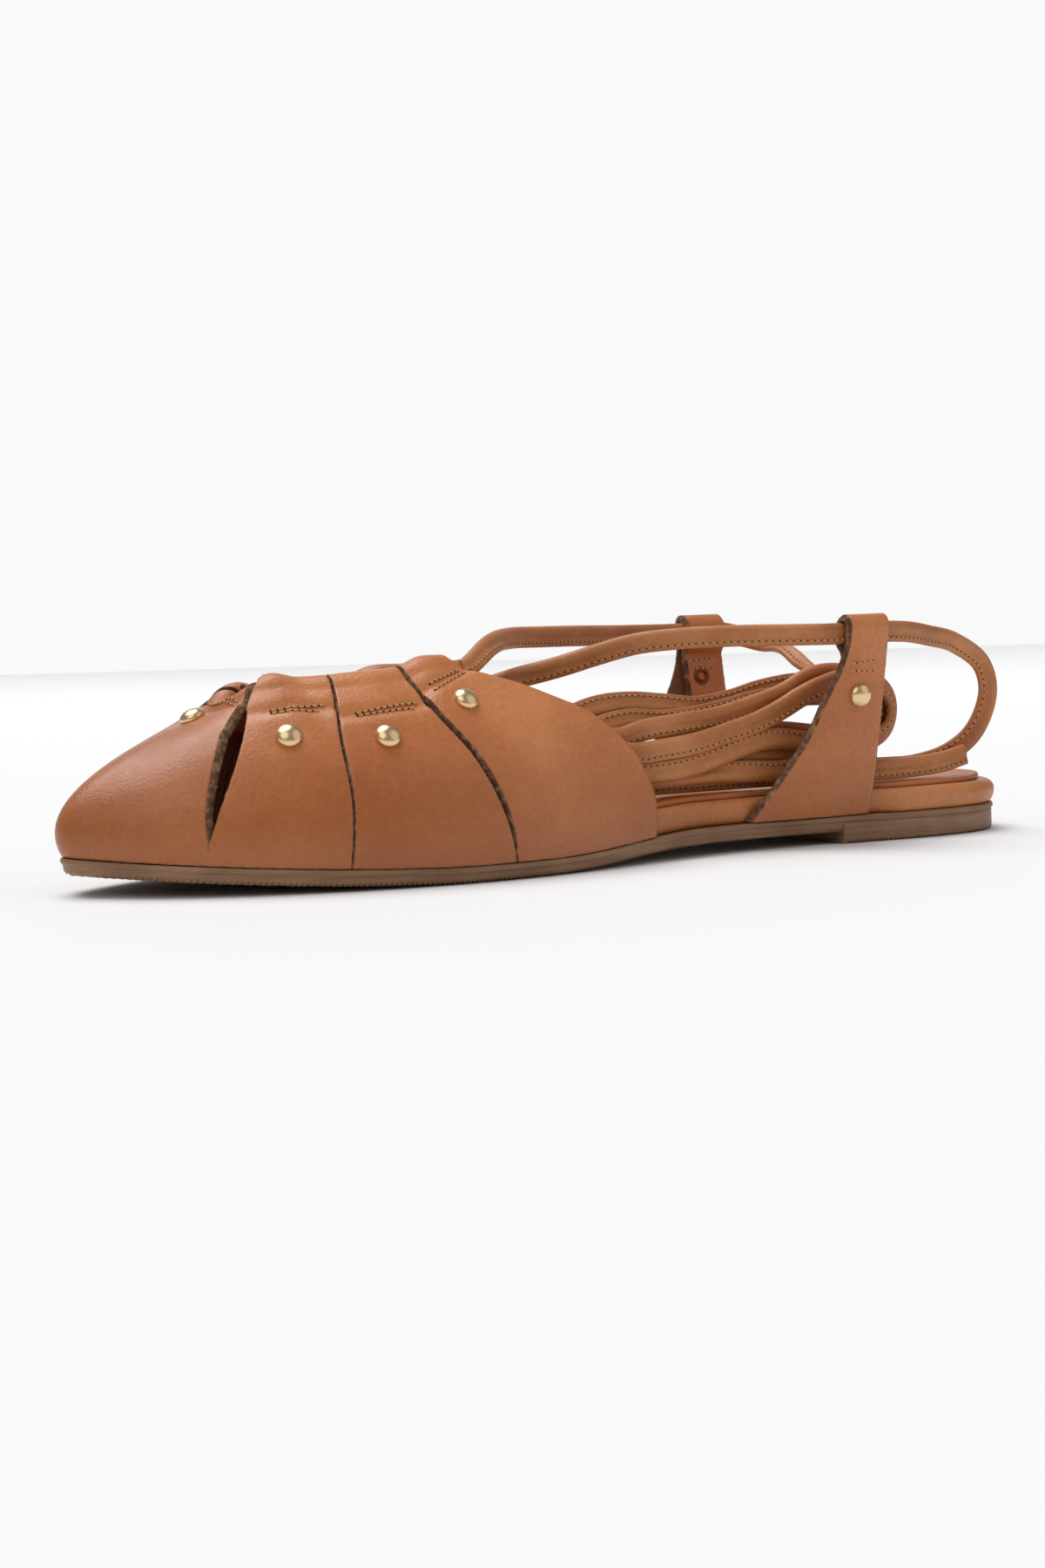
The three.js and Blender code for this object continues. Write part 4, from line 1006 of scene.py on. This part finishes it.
def strip_frames(path, faces_out):
    """Tangent, width and outward directions along a path, from wanted outward directions."""
    tangent = unit(np.gradient(path, axis=0))
    normal = unit(faces_out - tangent * (faces_out * tangent).sum(-1, keepdims=True))
    normal = unit(smooth_along(normal, 5))
    normal = unit(normal - tangent * (normal * tangent).sum(-1, keepdims=True))
    return tangent, np.cross(tangent, normal), normal


def strip_profile():
    """Section of the folded strip, width by thickness: a round body and a flat stitched flange.
    The flange lies on the minus side of the width."""
    body = [(1.0 + 1.6 * np.cos(a), 1.42 * np.sin(a)) for a in np.linspace(-0.78 * np.pi, 0.78 * np.pi, 17)]
    flange = [(-1.1, 0.78), (-2.3, 0.68), (-2.58, 0.4), (-2.6, 0.0), (-2.58, -0.4), (-2.3, -0.68),
              (-1.1, -0.78)]
    return np.array(body + flange)


def strip(path, frames, flip):
    """The strip's skin along a path, closed at both ends. flip puts the flange on the other
    side of the width."""
    _, width, normal = frames
    profile = strip_profile()
    points = (path[:, None] + width[:, None] * profile[None, :, :1] * flip
              + normal[:, None] * profile[None, :, 1:])
    n = len(profile)
    faces = ring_faces(len(path), n)
    kinds = np.zeros(len(faces), int)
    ends = []
    for first in (0, (len(path) - 1) * n):
        i = np.arange(1, n // 2)
        cap = np.stack([i, i - 1, (n - i) % n, n - i - 1], -1)
        ends.append(first + cap[:, ::(1 if first == 0 else -1)])
    ends = np.vstack(ends)
    faces = np.vstack([faces, ends])
    kinds = np.r_[kinds, np.ones(len(ends), int)]
    return points.reshape(-1, 3), (faces if flip > 0 else faces[:, ::-1]), kinds


tunnel_rear = float(turn_at(along(0.634), 1))
MOUTH = 0.004
lace_turns = np.linspace(tunnel_rear - MOUTH, 1 - tunnel_rear + MOUTH, 400)
lace_middle, _, lace_out = tunnel_frame(lace_turns)
STRAP_LINE = {side: side * (float(strap_face(side, LOOP_HEIGHT)) - LEATHER - BORE[1]) for side in (1, -1)}


def tie_start(end, before):
    """First two points of a tie, just outside the tunnel's mouth and on along its line."""
    out = unit(end - before)
    return [end + out * GAP, end + out * 1.6]


LATERAL_TIE = tie_start(lace_middle[0], lace_middle[4]) + [
    (116, 2, 52), (105, -8, 53), (92, -15, 52.8), (76, -22, 52.4), (60, -27.5, 51.9),
    *[(x, STRAP_LINE[-1], LOOP_HEIGHT) for x in (47, 40, 33, 30)],
    (25, -26.6, 50.2), (21.5, -23, 48.7), (20.6, -17, 47.6), (21.8, -10, 45.9), (22.6, -4.5, 43.6),
    (24.5, 3.6, 40.8), (30, 7, 39.4), (36.7, 8, 39), (44.5, 8, 37.9), (52.3, 8, 36.1), (62.5, 8, 34.9),
    (72.5, 8, 36), (82.4, 8, 36.9), (92, 8, 36.2), (100, 8.2, 33.5), (106.5, 8.8, 28.5), (107, 9.6, 23),
    (102, 10.4, 19.6), (92, 11, 19.8), (78, 11.5, 22.6), (62, 12, 25.8), (47.5, 12, 27.9),
    (39.8, 12, 27.7), (30.7, 12, 26.6), (21, 11.6, 26.2), (15, 11.2, 28.6), (13.6, 10.8, 32),
    (17, 10.5, 35.2), (24, 10.5, 36), (38.5, 10.5, 36.2), (48.8, 10.5, 35.4), (54, 10.5, 34.3),
    (64.2, 10.5, 32.7), (74.2, 10.5, 32.2), (84.1, 10.5, 32.9), (93, 10.8, 31.2), (101, 11.6, 27),
    (103.5, 12.4, 22), (100, 12.8, 18.4), (90, 12, 17.2), (70, 11, 17), (50, 11.4, 17), (34, 12.6, 17),
    (22, 15, 17), (14, 16.2, 17), (5, 16.6, 17.2), (-5, 16.5, 17.9), (-12.5, 16, 19.4)]
MEDIAL_TIE = tie_start(lace_middle[-1], lace_middle[-5]) + [
    (120, -8, 42.6), (112, -6.5, 42.4), (103, -4.5, 44), (95, -1, 46), (88, 3.5, 48.4), (80, 9, 50.8),
    (70, 15, 51.8), (58, 21, 52), (47, 25.5, 51.8),
    *[(x, STRAP_LINE[1], LOOP_HEIGHT) for x in (38, 32, 24, 19)],
    (12, 27, 51.2), (4, 24, 50), (-7, 20, 47.8), (-17, 18, 42), (-19.6, 17, 34.6), (-16.5, 15, 25),
    (-10, 12.5, 19.6), (-1, 10.5, 17.2), (6, 10, 17), (13, 9.8, 17.4), (22, 10.2, 20.2), (32, 13.6, 21),
    (42.3, 16.6, 18.6), (53.8, 17, 19.1), (61.3, 16.6, 19.5), (72, 15, 19), (84, 14, 18.4),
    (95, 14.4, 18.2), (101, 15.4, 20), (102.5, 16.6, 24), (98, 17.3, 26.4), (86.6, 17.6, 25.2),
    (79.3, 17.6, 25.6), (69.3, 17.6, 26.7), (59.2, 17.6, 28.9), (51.5, 17.6, 30.8), (43.8, 17.6, 33.8),
    (38.5, 17.6, 36.3), (32, 17.6, 38.6), (24, 17.4, 40.2), (16.5, 17, 39.2), (11.4, 16.4, 36),
    (10, 16, 31.6), (11.6, 15.6, 27), (18, 15.2, 24), (27, 14.6, 23), (38.2, 14.4, 22.9),
    (48.5, 14.4, 23.4), (56.2, 14.3, 23.2), (63.8, 14, 22.8), (76, 13.4, 22), (90, 13.2, 21.4),
    (98, 13.6, 22.4), (101.4, 14.2, 26), (97, 14.6, 28.9), (88.8, 14.8, 28.9), (82.1, 14.8, 30.4),
    (72.2, 14.8, 31.4), (62.1, 14.8, 32.3), (51.9, 14.8, 34.4), (41.6, 14.8, 37.2), (35, 14.6, 40.2),
    (29.7, 14.2, 41.4), (22, 13.6, 41), (14.5, 13.4, 37.8), (11.8, 13.6, 33), (13, 14.4, 28.4),
    (19, 16, 25.8), (34.8, 17.2, 25.1), (45.8, 17.4, 26.6), (52.2, 17.5, 26.1), (59.9, 17.6, 24.2),
    (67.5, 17.6, 22.1), (75, 17.5, 20.7), (84, 17.4, 20.3), (96, 17, 20.4)]


def tie_frames(path, first_out):
    """Frames of a tie: it leaves the tunnel as the tunnel holds it and turns flat to the side
    over its first 30 mm."""
    run = np.r_[0, np.cumsum(np.linalg.norm(np.diff(path, axis=0), axis=1))]
    share = ease(run, 4, 34)[:, None]
    turn = np.exp(-((path[:, 0] - 11) / 7) ** 2) * ease(run, 170, 200) * 1.6
    sideways = np.stack([0.12 - turn, np.ones(len(path)), np.full(len(path), 0.1)], -1)
    return strip_frames(path, first_out * (1 - share) + sideways * share)


def add_tie(name, path, frames, flip, replaced):
    """One length of the tie with its stitches, joined as one mesh."""
    body = strip(path, frames, flip)
    line = path - frames[1] * 1.55 * flip
    rows = [body]
    for face in (1, -1):
        rows += stitches(line + frames[2] * face * 0.8, frames[2] * face, 1.7, 1.4, 0.26)
    points, faces, kinds = join(rows)
    obj = add_mesh(name, points, faces, [lace_leather, lace_edge, flesh, thread_tan, hole_shade], kinds, sharp=60)
    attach(obj, "root")
    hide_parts(*replaced)
    return obj


frames = strip_frames(lace_middle, lace_out)
add_tie("tie_in_tunnels", lace_middle, frames, 1, ["lace_in_tunnels"])


for name, route, out, flip, replaced in [
        ("tie_lateral", LATERAL_TIE, lace_out[0], -1, ["lace_lateral_tie", "lace_end"]),
        ("tie_medial", MEDIAL_TIE, lace_out[-1], -1, ["lace_medial_tie", "lace_hank"])]:
    path = smooth_path(route)
    obj = add_tie(name, path, tie_frames(path, out[None]), flip, replaced)
